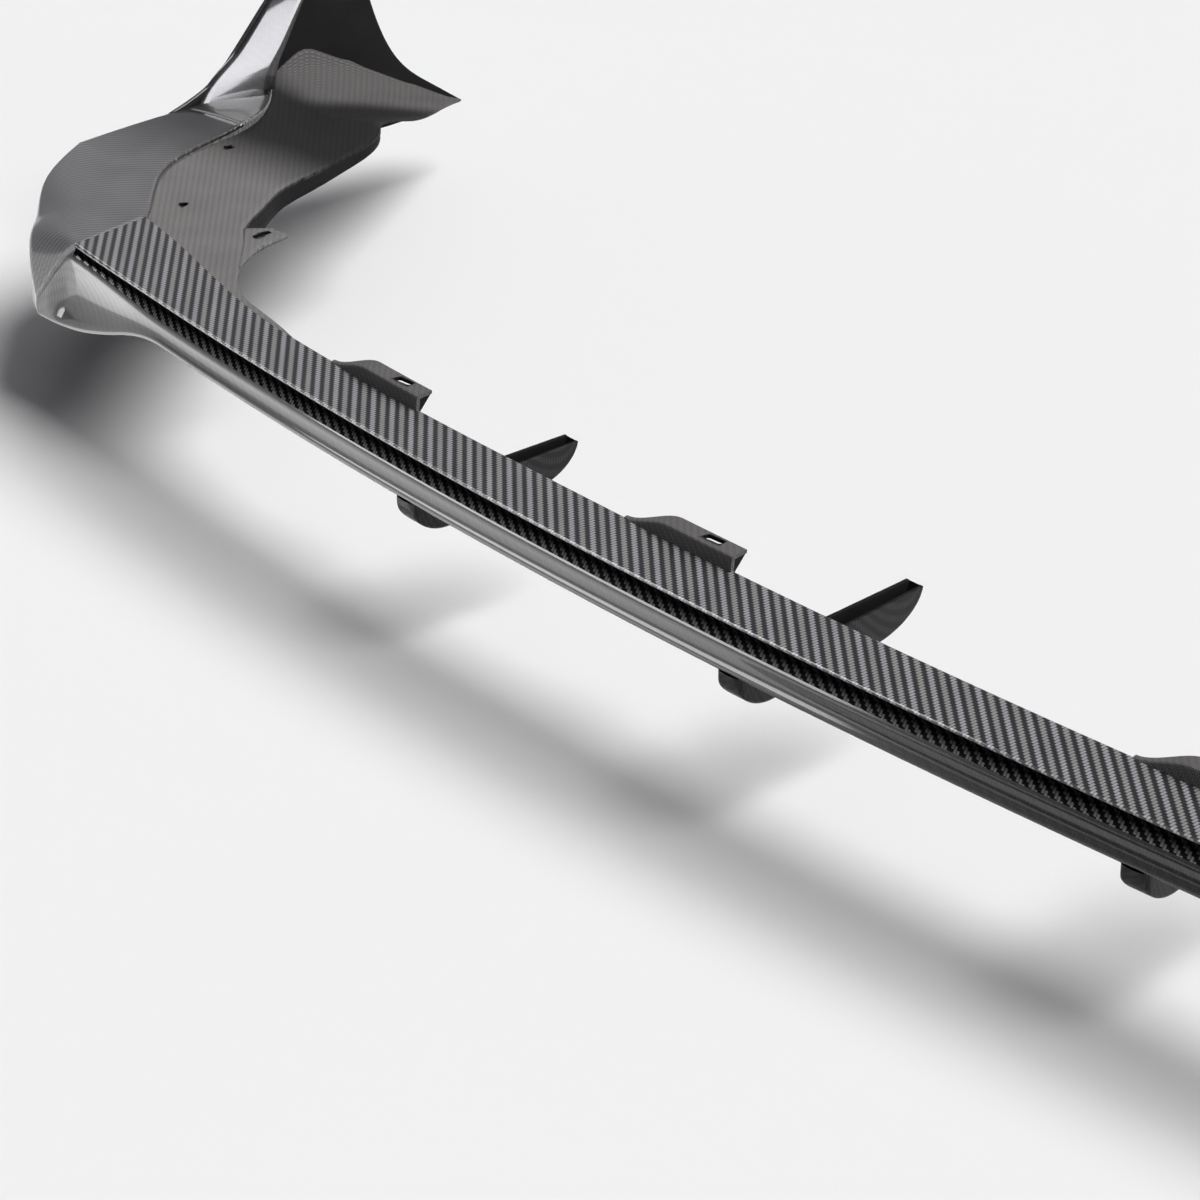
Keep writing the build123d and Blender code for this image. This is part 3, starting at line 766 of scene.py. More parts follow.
def make_cloth_material(name, pitch, light, warm, dark):
    """Laminate material: the twill under resin, polished where the coat is full. Its colour takes the
    factor that the mesh holds for each point, which paints in highlights, reflections and shade."""
    uneven, roughness, coat, relief_strength, refraction = CLOTHS[name]
    material = bpy.data.materials.new(name)
    material.use_nodes = True
    material.node_tree.nodes.clear()
    wiring = Wiring(material.node_tree)
    cloth = wiring.node("ShaderNodeUVMap", uv_map="cloth").outputs[0]
    weave = wiring.node("ShaderNodeGroup", node_tree=bpy.data.node_groups["twill weave"])
    for key, value in (("Pitch", pitch), ("Light", (*light, 1.0)), ("Warm", (*warm, 1.0)),
                       ("Dark", (*dark, 1.0)), ("Unevenness", uneven)):
        weave.inputs[key].default_value = value
    material.node_tree.links.new(cloth, weave.inputs["Cloth"])
    relief = wiring.node("ShaderNodeBump", {
        "Height": weave.outputs["Height"], "Strength": relief_strength, "Distance": TOW_RELIEF,
    })
    patchy = wiring.math("MULTIPLY_ADD", weave.outputs["Noise"], PATCH_ROUGHNESS,
                         roughness - PATCH_ROUGHNESS / 2)
    # Painted light and shade held by the mesh.
    shade = wiring.node("ShaderNodeAttribute", attribute_name="shade").outputs["Fac"]
    level = wiring.node("ShaderNodeCombineColor", {0: shade, 1: shade, 2: shade}).outputs[0]
    colour = wiring.mix(1.0, weave.outputs["Color"], level, "MULTIPLY")
    shader = wiring.node("ShaderNodeBsdfPrincipled", {
        "Base Color": colour, "Roughness": patchy, "Normal": relief.outputs[0],
        "Coat Weight": coat, "Coat Roughness": COAT_ROUGHNESS, "IOR": refraction,
    })
    wiring.node("ShaderNodeOutputMaterial", {0: shader.outputs[0]})
    return material


def make_back_material(name, colour):
    """Rough back: dark resin with a coarse grain, from noise in the part's own place."""
    material = bpy.data.materials.new(name)
    material.use_nodes = True
    material.node_tree.nodes.clear()
    wiring = Wiring(material.node_tree)
    place = wiring.node("ShaderNodeTexCoord").outputs["Object"]
    grain = wiring.node("ShaderNodeTexNoise", {"Vector": place, "Scale": GRAIN_SCALE, "Detail": 4.0})
    streak = wiring.node("ShaderNodeTexNoise", {"Vector": place, "Scale": STREAK_SCALE, "Detail": 2.0})
    pale = tuple(min(1.0, STREAK_LIGHT * part) for part in colour) + (1.0,)
    tint = wiring.mix(streak.outputs[0], (*colour, 1.0), pale)
    relief = wiring.node("ShaderNodeBump", {"Height": grain.outputs[0], "Strength": 0.5,
                                            "Distance": GRAIN_RELIEF})
    roughness = wiring.math("MULTIPLY_ADD", grain.outputs[0], 0.25, 0.50)
    shader = wiring.node("ShaderNodeBsdfPrincipled", {
        "Base Color": tint, "Roughness": roughness, "Normal": relief.outputs[0], "IOR": 1.15,
    })
    wiring.node("ShaderNodeOutputMaterial", {0: shader.outputs[0]})
    return material


def finishes():
    """The laminate's materials by name, made on first use from the scene's finish settings."""
    finish = bpy.context.scene.lip_finish
    if "polished cloth" not in bpy.data.materials:
        make_twill_group()
        wide = finish.tow_pitch
        fine = finish.fine_pitch
        rolled = finish.rolled_sheen_lit
        blade = finish.blade_sheen_lit
        recess = finish.recess_sheen_lit
        raw = finish.raw_sheen_lit
        # Each cloth's lit and shaded tow colours paint in the weave's sheen.
        make_cloth_material("polished cloth", wide, finish.sheen_lit_tow, finish.warm_sheen_lit_tow, finish.sheen_shaded_tow)
        make_cloth_material("fine cloth", fine, blade, blade, finish.blade_sheen_shaded)
        make_cloth_material("rolled cloth", wide, rolled, rolled, finish.rolled_sheen_shaded)
        make_cloth_material("recess cloth", wide, recess, recess, finish.rolled_sheen_shaded)
        make_cloth_material("strake cloth", wide, rolled, rolled, finish.back_colour)
        make_cloth_material("raw cloth", fine, raw, raw, finish.raw_sheen_shaded)
        make_back_material("rough back", finish.back_colour[:])
    return bpy.data.materials


def scooped(outline, first, count, depth):
    """Outline with the band between two columns hollowed inwards by a half sine of its height."""
    hollow = np.sin(math.pi * (np.arange(count) + 1) / (count + 1))
    outline[:, first:first + count, 0] += depth[:, None] * hollow[None, :]
    return outline


def strip_outline(x, wall):
    """Corners of the strip's section at each x, from its inner edge over the fold, down the recess and
    the lip band, in along the foot and back up inside. The line under the recess settles half as far
    as the band's foot."""
    fold = fold_line(x)
    height = lip_height(x)
    fade = smooth((np.abs(x) - NOSE_START) / (CREASE_X - NOSE_START))
    inward = RECESS_IN * (1.0 - RECESS_FADE * fade)
    line_down = LINE_DOWN - RIM_RISE * fade
    edge = strip_edge(x)
    line = fold - LINE_OUT - 0.5 * settled(x)
    band = fold - BAND_OUT - settled(x)
    rows = [
        (edge, 0 * x), (fold, 0 * x), (fold + inward, 0 * x - RECESS_DOWN),
        (line, -line_down), (band, -height),
        (fold + UNDER_FLANGE, -height), (fold + UNDER_FLANGE, wall - height),
        (band + wall, wall - height), (line + wall, -line_down),
        (fold + inward + wall, 0 * x - RECESS_DOWN), (fold + wall, 0 * x - wall), (edge, 0 * x - wall),
    ]
    return section(rows)


def build_strip():
    """Long strip: its rounded section, carried across the car along the swept fold."""
    sizes = bpy.context.scene.lip_sizes
    steps = CORNER_POINTS
    x = np.linspace(-CREASE_X, CREASE_X, STRIP_SECTIONS)
    corners = strip_outline(x, sizes.wall)
    outline = rounded_outline(corners, (
        EDGE_CUT, sizes.fold_round, RECESS_CUT, sizes.line_round, HEM_CUT, EDGE_CUT, EDGE_CUT,
        INSIDE_CUT, INSIDE_CUT, INSIDE_CUT, EDGE_CUT, EDGE_CUT,
    ))
    outline = with_between(outline, 8 * steps - 1, BAND_POINTS)
    outline = with_between(outline, 4 * steps - 1, BAND_POINTS)
    share = smooth((np.abs(x) - SCOOP_START) / SCOOP_RUN)
    depth = BAND_HOLLOW + (sizes.scoop_depth - BAND_HOLLOW) * share
    outline = scooped(outline, 4 * steps, BAND_POINTS, depth)
    outline = scooped(outline, 8 * steps + BAND_POINTS, BAND_POINTS, depth)
    points = lip_terms(x[:, None], outline[:, :, 0], outline[:, :, 1])
    run = around(outline)
    cloth = on_cloth(x[:, None], strip_edge(x)[:, None] - run)
    column = np.arange(outline.shape[1])
    marks = np.searchsorted((2 * steps - 2, 3 * steps + 1, 6 * steps + BAND_POINTS), column, "right")
    names = ("polished cloth", "recess cloth", "rolled cloth", "rough back")
    materials = [finishes()[name] for name in names]
    nose = share[:, None]
    shade = np.ones(points.shape[:2])
    # Painted highlight along the fold's rounding.
    shade[:, steps + 2:2 * steps - 2] = FOLD_PAINTED_HIGHLIGHT
    # Painted shadow in the recess under the fold.
    shade[:, 2 * steps - 2:3 * steps] = RECESS_PAINTED_SHADOW
    # Near the corner, painted highlight on the line under the recess.
    shade[:, 3 * steps:4 * steps] += (RIM_PAINTED_HIGHLIGHT - 1.0) * nose
    # Painted light at the foot of the recess, growing towards the corner.
    shade[:, 3 * steps] = 1.0 + RECESS_PAINTED_LIGHT_GAIN * share
    # The scoop: painted highlight at its upper edge falling to painted shade at its foot, and painted
    # shade below it.
    down = np.linspace(0.0, 1.0, SCOOP_POINTS)[None, :]
    foot = 4 * steps + SCOOP_POINTS
    shade[:, 4 * steps:foot] += (scoop_painted_light(down, 0.0) - 1.0) * nose
    shade[:, foot:5 * steps + BAND_POINTS] -= 0.5 * nose
    return mount(build_piece("strip", points, cloth, materials, closed=True, marks=marks, shade=shade))


def build_noses():
    """Scooped noses: the front of the strip's section runs on past the crease, squeezed between the
    blade's falling rim above and the hem below."""
    sizes = bpy.context.scene.lip_sizes
    share = np.linspace(0.0, 1.0, NOSE_SECTIONS)
    x = -CREASE_X - (NOSE_X - CREASE_X) * share
    section = strip_outline(np.full_like(share, CREASE_X), sizes.wall)
    front = section[:, 1:10].copy()
    front[:, 4:6, 0] = front[:, 3:4, 0] + HEM_WIDTH
    full = lip_height(CREASE_X)
    rim = NOSE_DROP * share**RIM_POWER
    squeeze = (lip_height(x) - rim) / full
    front[:, :, 1] = front[:, :, 1] * squeeze[:, None] - rim[:, None]
    rest = np.array([0, 0, 0, 0, HEM_WIDTH, HEM_WIDTH, 0, 0, 0]) + NOSE_FORWARD
    rest = rest + np.array([0, 0, 0, 0, 0, 0, 1, 1, 1]) * sizes.wall
    front[:, :, 0] += (rest[None, :] - front[:, :, 0]) * share[:, None]
    front[:, 1:, 0] += NOSE_BULGE * (share * (1.0 - share))[:, None]
    last = front[:, :1] + (sizes.wall, -RIM_STEP)
    corners = np.concatenate((front, last), axis=1)
    outline = rounded_outline(corners, (
        EDGE_CUT, RECESS_CUT, sizes.line_round, HEM_CUT, EDGE_CUT, EDGE_CUT, INSIDE_CUT, INSIDE_CUT,
        INSIDE_CUT, EDGE_CUT,
    ))
    steps = CORNER_POINTS
    outline = with_between(outline, 7 * steps - 1, BAND_POINTS)
    outline = with_between(outline, 3 * steps - 1, BAND_POINTS)
    fade = 1.0 - smooth((share - SCOOP_FADE_START) / SCOOP_FADE)
    outline = scooped(outline, 3 * steps, BAND_POINTS, sizes.scoop_depth * fade)
    outline = scooped(outline, 7 * steps + BAND_POINTS, BAND_POINTS, sizes.scoop_depth * fade)
    points = lip_terms(x[:, None], outline[:, :, 0], outline[:, :, 1])
    run = around(outline)
    cloth = on_cloth(x[:, None], FOLD_SWEEP - run)
    marks = np.arange(outline.shape[1]) >= 5 * steps + BAND_POINTS
    materials = [finishes()["rolled cloth"], finishes()["rough back"]]
    shade = np.ones(points.shape[:2])
    # Painted highlight on the rim band over the scoop.
    shade[:, :3 * steps] = RIM_PAINTED_HIGHLIGHT
    # The scoop runs from a painted highlight at its upper edge to painted shade at its foot; the hem
    # below keeps painted shade, both lighter outboard.
    down = np.linspace(0.0, 1.0, SCOOP_POINTS)[None, :]
    foot = 3 * steps + SCOOP_POINTS
    shade[:, 3 * steps:foot] = scoop_painted_light(down, share[:, None])
    shade[:, foot:4 * steps + BAND_POINTS] = SCOOP_FOOT_PAINTED_SHADE + SCOOP_FOOT_PAINTED_LIGHT_OUT * share[:, None]
    for side, turn in SIDES:
        mount(build_piece(f"nose_{side}", points * (turn, 1, 1), cloth, materials, closed=True,
                          marks=marks, shade=shade))


def step_place(forward):
    """Place across the car of the line where the polished blade steps down to the flange."""
    path = spline(STEP_LINE, np.linspace(0.0, 1.0, 40))
    return np.interp(forward, path[:, 1], path[:, 0])


def blade_surface(rows, shares):
    """Blade's top face on rows by shares: straight in plan from the outer edge towards the strip, and
    down from the strip's level by the row's drop times a power of the share still to go."""
    edge_x, edge_y, drop, inner_y, power = (rows[:, k, None] for k in range(5))
    x = edge_x + (-CREASE_X - edge_x) * shares
    forward = edge_y + (inner_y - edge_y) * shares
    up = -drop * (1.0 - shares) ** power
    return x, forward, up


def blade_inner_share(rows):
    """Share at which each row meets the step line, found by halving."""
    low = np.zeros((len(rows), 1))
    high = np.ones((len(rows), 1))
    for _ in range(26):
        middle = (low + high) / 2
        x, forward, up = blade_surface(rows, middle)
        outside = x < step_place(forward)
        low = np.where(outside, middle, low)
        high = np.where(outside, high, middle)
    return high


def outer_rows():
    """Rows of the blade from the nose's rim round the sharp corner and along the side."""
    shares = np.linspace(0.0, 1.0, 60)
    table = BLADE_ROWS.copy()
    table[:, 0] = -NOSE_X - BLADE_ROWS[:, 0] * (SIDE_X - NOSE_X)
    table[:, 1] = NOSE_FORWARD + BLADE_ROWS[:, 1] * (BLADE_CORNER - NOSE_FORWARD)
    return np.concatenate((spline(table, shares), side_rows(SIDE_ROWS, 24)[1:]))


def side_rows(table, count):
    """Rows of the blade beside the straight side, level in plan."""
    rows = np.stack((-SIDE_X + table[:, 1], table[:, 0], table[:, 2], table[:, 0],
                     np.full(len(table), 4.0)), axis=-1)
    return spline(rows, np.linspace(0.0, 1.0, count))


def painted_blade_shade(forward):
    """Factor on the blade's colour: painted shade, eased darker towards the foot of the facet."""
    return 1.0 - BLADE_PAINTED_SHADE * smooth((forward - BLADE_SHADE_START) / BLADE_SHADE_LENGTH)


def build_blades():
    """Blades: each rolls down to its outer edge and turns into a skirt with a hem below."""
    wall = bpy.context.scene.lip_sizes.wall
    rows = outer_rows()
    end = blade_inner_share(rows)
    reach = np.hypot(-CREASE_X - rows[:, 0], rows[:, 3] - rows[:, 1])[:, None]
    edge_cut = BLADE_ROUND / reach
    rows[:, 0] = np.maximum(rows[:, 0], -SIDE_X)
    spread = np.linspace(0.0, 1.0, 30)[None, :] ** BLADE_CROWDING
    x, forward, up = blade_surface(rows, edge_cut + (end - edge_cut) * spread)
    top = lip_terms(x, forward, up)
    edge = lip_terms(rows[:, 0, None], rows[:, 1, None], -rows[:, 2, None])
    inward = lip_terms(*blade_surface(rows, 1.0 + 0 * end))
    inward = inward - edge
    inward[:, :, 2] = 0.0
    inward /= np.linalg.norm(inward, axis=2, keepdims=True)
    bottom = edge.copy()
    cut = NOSE_CUT * (1.0 - smooth((rows[:, 1, None] - SKIRT_CUT_START) / SKIRT_CUT_FADE))
    bottom[:, :, 2] = TOP_Z - NOSE_HEIGHT + cut
    round_down = np.array((0.0, 0.0, -BLADE_ROUND))
    share = np.linspace(0.0, 1.0, 6)[None, :, None]
    both = 2 * share * (1 - share)
    roll = (1 - share) ** 2 * (edge + round_down) + both * edge + share**2 * top[:, :1]
    lower = (bottom + (0, 0, SKIRT_ROUND)) * share**2 + both * bottom
    lower = lower + (1 - share) ** 2 * (bottom + SKIRT_ROUND * inward)
    hem = bottom + inward * np.array((HEM_WIDTH, HEM_WIDTH / 2, SKIRT_HEM_RISE))[None, :, None]
    skirt = bottom + (edge - bottom) * np.array((0.35, 0.65))[None, :, None]
    support = edge + 1.2 * round_down
    points = np.concatenate((hem, lower, skirt, support, roll[:, :-1], top), axis=1)
    split = hem.shape[1] + lower.shape[1] + skirt.shape[1] + 1
    cloth = on_cloth(points[:, :, 0], -points[:, :, 1])
    under = on_cloth(run_along(rows[:, :2])[:, None], run_along(points))
    cloth[:, :split] = under[:, :split]
    marks = np.arange(points.shape[1]) < split
    materials = [finishes()[name] for name in ("fine cloth", "rolled cloth", "rough back")]
    rows_end = side_rows(END_ROWS, 16)
    share = np.linspace(0.0, 1.0, 24)[None, :]
    shares_end = blade_inner_share(rows_end) * share**END_CROWDING
    x, forward, up = blade_surface(rows_end, shares_end)
    sunk = smooth((forward - BLADE_END) / (FACET_START - BLADE_END)) * share**2
    up = up + (foot_height(x, forward) + LAP - up) * sunk
    end_points = lip_terms(x, forward, up)
    # Painted shade on the blade towards the facet's foot; the skirt is left without it.
    end_painted_shade = painted_blade_shade(forward)
    blade_painted_shade = painted_blade_shade(points[:, :, 1] - FOLD_Y)
    blade_painted_shade[:, :split] = 1.0
    end_cloth = on_cloth(end_points[:, :, 0], -end_points[:, :, 1])
    for side, turn in SIDES:
        piece = build_piece(f"blade_{side}", points * (turn, 1, 1), cloth, materials, marks=marks,
                            shade=blade_painted_shade)
        mount(thicken(piece, wall))
        piece = build_piece(f"blade_end_{side}", end_points * (turn, 1, 1), end_cloth, materials,
                            shade=end_painted_shade)
        mount(thicken(piece, wall))


def build_uprights():
    """Uprights: a flat end plate between its hem and its outline, and the folded facet on its rear
    edge. The plate runs from the bottom to the outline in even shares, and its lead lies a little
    inside the blade's skirt."""
    wall = bpy.context.scene.lip_sizes.wall
    rear = REAR_EDGE * (UPRIGHT_REACH - UPRIGHT_FOOT, UPRIGHT_HEIGHT) + (UPRIGHT_FOOT, 0.0)
    lead = np.array((LEAD_START, (UPRIGHT_FOOT, 0.0)))
    outline = np.concatenate((
        lead[:1] + (lead[1] - lead[0]) * np.linspace(0.0, 1.0, 4)[:-1, None],
        spline(rear, np.linspace(0.0, 1.0, 34)),
        spline(ARCH_EDGE, np.linspace(0.0, 1.0, 40)),
    ))
    forward = outline[:, 0, None]
    bottom = -NOSE_HEIGHT - (TOP_Z - NOSE_HEIGHT) * np.clip(
        (forward - FOOT_START) / (TIP_FORWARD - FOOT_START), 0.0, 1.0)
    share = np.linspace(0.0, 1.0, 16)[None, :]
    up = bottom + (outline[:, 1, None] - bottom) * share
    inside = LEAD_INSET * (forward < BLADE_END)
    plate = lip_terms(-SIDE_X + inside, forward, up)
    plate_cloth = on_cloth(forward, up)
    levels = spline(FACET_LEVELS[:, [1, 0, 2]] * (UPRIGHT_HEIGHT, 1.0, 1.0), np.linspace(0.0, 1.0, 40))
    edge = UPRIGHT_FOOT + (UPRIGHT_REACH - UPRIGHT_FOOT) * levels[:, 1, None]
    across = np.linspace(0.0, 1.0, 7)[None, :]
    facet = lip_terms(-SIDE_X + FACET_INSET + FACET_DEPTH * across,
                      edge + levels[:, 2, None] * across, levels[:, 0, None])
    facet_cloth = on_cloth(facet[:, :, 1], facet[:, :, 2])
    materials = [finishes()["rolled cloth"], finishes()["rough back"]]
    for side, turn in SIDES:
        piece = build_piece(f"upright_{side}", plate * (turn, 1, 1), plate_cloth, materials,
                            outward=(-turn, 0, 0))
        mount(thicken(piece, wall))
        piece = build_piece(f"facet_{side}", facet * (turn, 1, 1), facet_cloth, materials,
                            outward=np.array(FACET_FACING) * (turn, 1, 1))
        mount(thicken(piece, FACET_WALL * wall))


def foot_height(x, forward):
    """Height of the flange. It lies a step below the blade, dips in a bell-shaped valley, falls as a
    power of the distance to the front tip, and rises at the side wall in a quarter round whose radius
    shrinks towards the tip."""
    inward = SIDE_X - np.abs(x)
    beyond = np.clip((forward - FOOT_START) / (TIP_FORWARD - FOOT_START), 0.0, None)
    fall = (TOP_Z - FLANGE_STEP) * beyond**FALL_POWER
    radius = FOOT_RADIUS * np.clip((TIP_FORWARD + FOOT_TIP - forward) / FOOT_TAPER, FOOT_LEAST, 1.0)
    rise = radius - np.sqrt(np.clip(radius**2 - np.clip(radius - inward, 0.0, None) ** 2, 0.0, None))
    bell = np.exp(-(((inward - VALLEY_INSIDE) / VALLEY_WIDTH) ** 2))
    valley = VALLEY_DEPTH * smooth((forward - VALLEY_START) / VALLEY_LENGTH) * bell
    return smooth((forward - FOOT_RISE_START) / FOOT_RISE) * rise - FLANGE_STEP - fall - valley


def flange_paths():
    """Inner and free edges of the flange in plan, point by point across from each other."""
    x = np.linspace(FLANGE_START, -CREASE_X, STRIP_PLACES)
    along_strip = np.stack((x, strip_edge(x)), axis=-1)
    along_step = spline(STEP_LINE, np.linspace(0.0, 1.0, STEP_PLACES))
    corners = FLANGE_PAIRS[WALL_PAIR:, :2]
    places = np.linspace(0, len(corners) - 1, WALL_PLACES)
    wall = [np.interp(places, np.arange(len(corners)), corners[:, k]) for k in (0, 1)]
    wall = np.stack(wall, axis=-1)
    inner = np.concatenate((along_strip, along_step[1:], wall[1:]))
    free = FLANGE_PAIRS[:, 2:].copy()
    free[0] = inner[0]
    outer = spline(free, np.linspace(0.0, 1.0, 400))
    runs = [run_along(path) for path in (inner, outer)]
    nearest = [np.argmin(np.linalg.norm(path[None] - pairs[:, None], axis=2), axis=1)
               for path, pairs in ((inner, FLANGE_PAIRS[:, :2]), (outer, free))]
    matched = np.interp(runs[0], runs[0][nearest[0]], runs[1][nearest[1]])
    facing = np.stack([np.interp(matched, runs[1], outer[:, k]) for k in (0, 1)], axis=-1)
    return inner, facing


def build_flanges():
    """Mounting flanges inside the corners, with the step up to the blade, the return under the free
    edge, the side tab and the holes."""
    wall = bpy.context.scene.lip_sizes.wall
    inner, outer = flange_paths()
    share = np.linspace(0.0, 1.0, 22)[None, :, None] ** FLANGE_CROWDING
    plan = inner[:, None] + (outer - inner)[:, None] * share
    up = foot_height(plan[:, :, 0], plan[:, :, 1])
    flange = lip_terms(plan[:, :, 0], plan[:, :, 1], up)

    edge = inner[:STRIP_PLACES + STEP_PLACES - 1]
    # Painted shade: the flange darker forward of the corner; by the side wall a painted reflection on
    # the foot's rounding lifts it part way back.
    darker = smooth((plan[:, :, 1] - FLANGE_SHADE_START) / FLANGE_SHADE_LENGTH)
    flange_painted_light = 1.0 - FLANGE_PAINTED_SHADE * darker
    foot_reflection = smooth((FOOT_REFLECTION_WIDTH - SIDE_X - plan[:, :, 0]) / FOOT_REFLECTION_FADE)
    foot_reflection = foot_reflection * smooth((plan[:, :, 1] - FOOT_REFLECTION_START) / FOOT_REFLECTION_LENGTH)
    flange_painted_light = flange_painted_light + (FOOT_PAINTED_REFLECTION - flange_painted_light) * foot_reflection
    low = foot_height(edge[:, 0], edge[:, 1])[:, None] - wall
    height = np.array((0.0, 0.35, 0.7, 1.0))[None, :]
    sunk = smooth((edge[:, 1:] - BLADE_END) / (FACET_START - BLADE_END))
    top = -LAP + (low + wall + 2 * LAP) * sunk
    rise = low + (top - low) * height
    step = lip_terms(edge[:, 0, None], edge[:, 1, None], rise)

    keep = (outer[:, 1] > RETURN_START) & (outer[:, 1] < RETURN_END) & (outer[:, 0] > RETURN_OUTSIDE)
    free = outer[keep]
    reach = np.clip((free[:, 1, None] - free[0, 1]) / (free[-1, 1] - free[0, 1]), 0.0, 1.0)
    fold = foot_height(free[:, 0], free[:, 1])[:, None] - LAP
    deep = RETURN_HEIGHT + (RETURN_FRONT_HEIGHT - RETURN_HEIGHT) * reach
    drop = fold - deep * np.linspace(0.0, 1.0, 5)[None, :]
    back = lip_terms(free[:, 0, None], free[:, 1, None], drop)

    places = np.linspace(0.0, 1.0, 22)
    first = spline(SIDE_TAB_OUTER, places)
    second = [np.interp(places * 3, np.arange(4), SIDE_TAB_INNER[:, k]) for k in (0, 1)]
    second = np.stack(second, axis=-1)
    tab_plan = first[:, None] + (second - first)[:, None] * np.linspace(0.0, 1.0, 8)[None, :, None]
    tab = lip_terms(tab_plan[:, :, 0], tab_plan[:, :, 1], -FLANGE_STEP + SIDE_TAB_LIFT)

    materials = [finishes()["raw cloth"], finishes()["rough back"]]
    for side, turn in SIDES:
        piece = build_piece(f"flange_{side}", flange * (turn, 1, 1), plan, materials,
                            shade=flange_painted_light)
        thicken(piece, wall)
        holes = [(turn * x, y, float(foot_height(x, y)), 2 * HOLE_RADIUS, 2 * HOLE_RADIUS, False)
                 for x, y in CORNER_HOLES]
        mount(cut_openings(piece, holes))
        piece = build_piece(f"step_{side}", step * (turn, 1, 1), on_cloth(edge[:, 0, None], rise),
                            materials, outward=(turn, 1, 0))
        mount(thicken(piece, STEP_WALL * wall))
        piece = build_piece(f"return_{side}", back * (turn, 1, 1), on_cloth(free[:, 1, None], drop),
                            materials[1:], outward=(turn, 0.3, 0))
        mount(thicken(piece, wall))
        piece = build_piece(f"side_tab_{side}", tab * (turn, 1, 1), tab_plan, materials)
        thicken(piece, wall)
        slot = (turn * SIDE_TAB_SLOT[0], SIDE_TAB_SLOT[1], -FLANGE_STEP, SLOT_LENGTH, SLOT_WIDTH, True)
        mount(cut_openings(piece, [slot]))


def build_tab(name, end, turn):
    """Raised tab: a riser and a level leaf, square over an end wall at one end, that fades into the
    strip's edge at the other. Its section is carried across the car with its rise eased out."""
    rise_full = bpy.context.scene.lip_sizes.tab_rise
    wall = bpy.context.scene.lip_sizes.wall
    x = end - np.concatenate((np.linspace(0.0, TAB_LENGTH, 16),
                              TAB_LENGTH + np.linspace(0.0, TAB_FADE, 14)[1:]))
    gone = (end - x - TAB_LENGTH) / TAB_FADE
    rise = TAB_LEAST + (rise_full - TAB_LEAST) * (1.0 - smooth(gone))
    edge = strip_edge(x)
    root = edge + TAB_ROOT
    leaf = root + TAB_DEPTH * rise / rise_full
    rows = [
        (edge - wall, 0 * x - wall), (root - TAB_THICKNESS, rise), (leaf, rise),
        (leaf, rise - TAB_THICKNESS), (root, rise - TAB_THICKNESS), (edge, 0 * x - wall),
    ]
    corners = section(rows)
    outline = rounded_outline(corners, TAB_CUTS)
    points = lip_terms(x[:, None], outline[:, :, 0], outline[:, :, 1])
    run = around(outline)
    cloth = on_cloth(x[:, None], run)
    materials = [finishes()["raw cloth"], finishes()["rough back"]]
    shade = np.full(points.shape[:2], TAB_SHADE)
    piece = build_piece(name, points * (turn, 1, 1), cloth, materials, closed=True, shade=shade)
    slot_x = end - SLOT_FROM_END
    slot_y = float(strip_edge(slot_x)) + TAB_ROOT + TAB_DEPTH / 2
    slot = (turn * slot_x, slot_y, rise_full + TAB_SLOT_LIFT, SLOT_LENGTH, SLOT_WIDTH, False)
    mount(cut_openings(piece, [slot]))
    end_edge = float(strip_edge(end))
    end_leaf = end_edge + TAB_DEPTH + TAB_END_PAST
    top = rise_full - TAB_END_BELOW
    side = np.array([[(end_edge - wall, -wall), (end_edge, top), (end_leaf, top),
                      (end_leaf, rise_full - TAB_THICKNESS), (end_edge, -wall)]])
    outline = np.repeat(rounded_outline(side, TAB_END_CUTS), 2, axis=0)
    across = np.array((end - TAB_END_INSET, end - TAB_THICKNESS))[:, None]
    points = lip_terms(across, outline[:, :, 0], outline[:, :, 1])
    cloth = on_cloth(across, around(outline))
    piece = build_piece(f"{name}_end", points * (turn, 1, 1), cloth, materials[1:], closed=True)
    return mount(piece)


def build_tabs():
    """Five raised tabs along the strip: two on each side and one in the middle."""
    for side, turn in SIDES:
        for place, end in TAB_ENDS.items():
            build_tab(f"tab_{place}_{side}", end, turn)
    build_tab("tab_centre", CENTRE_TAB_END, 1.0)


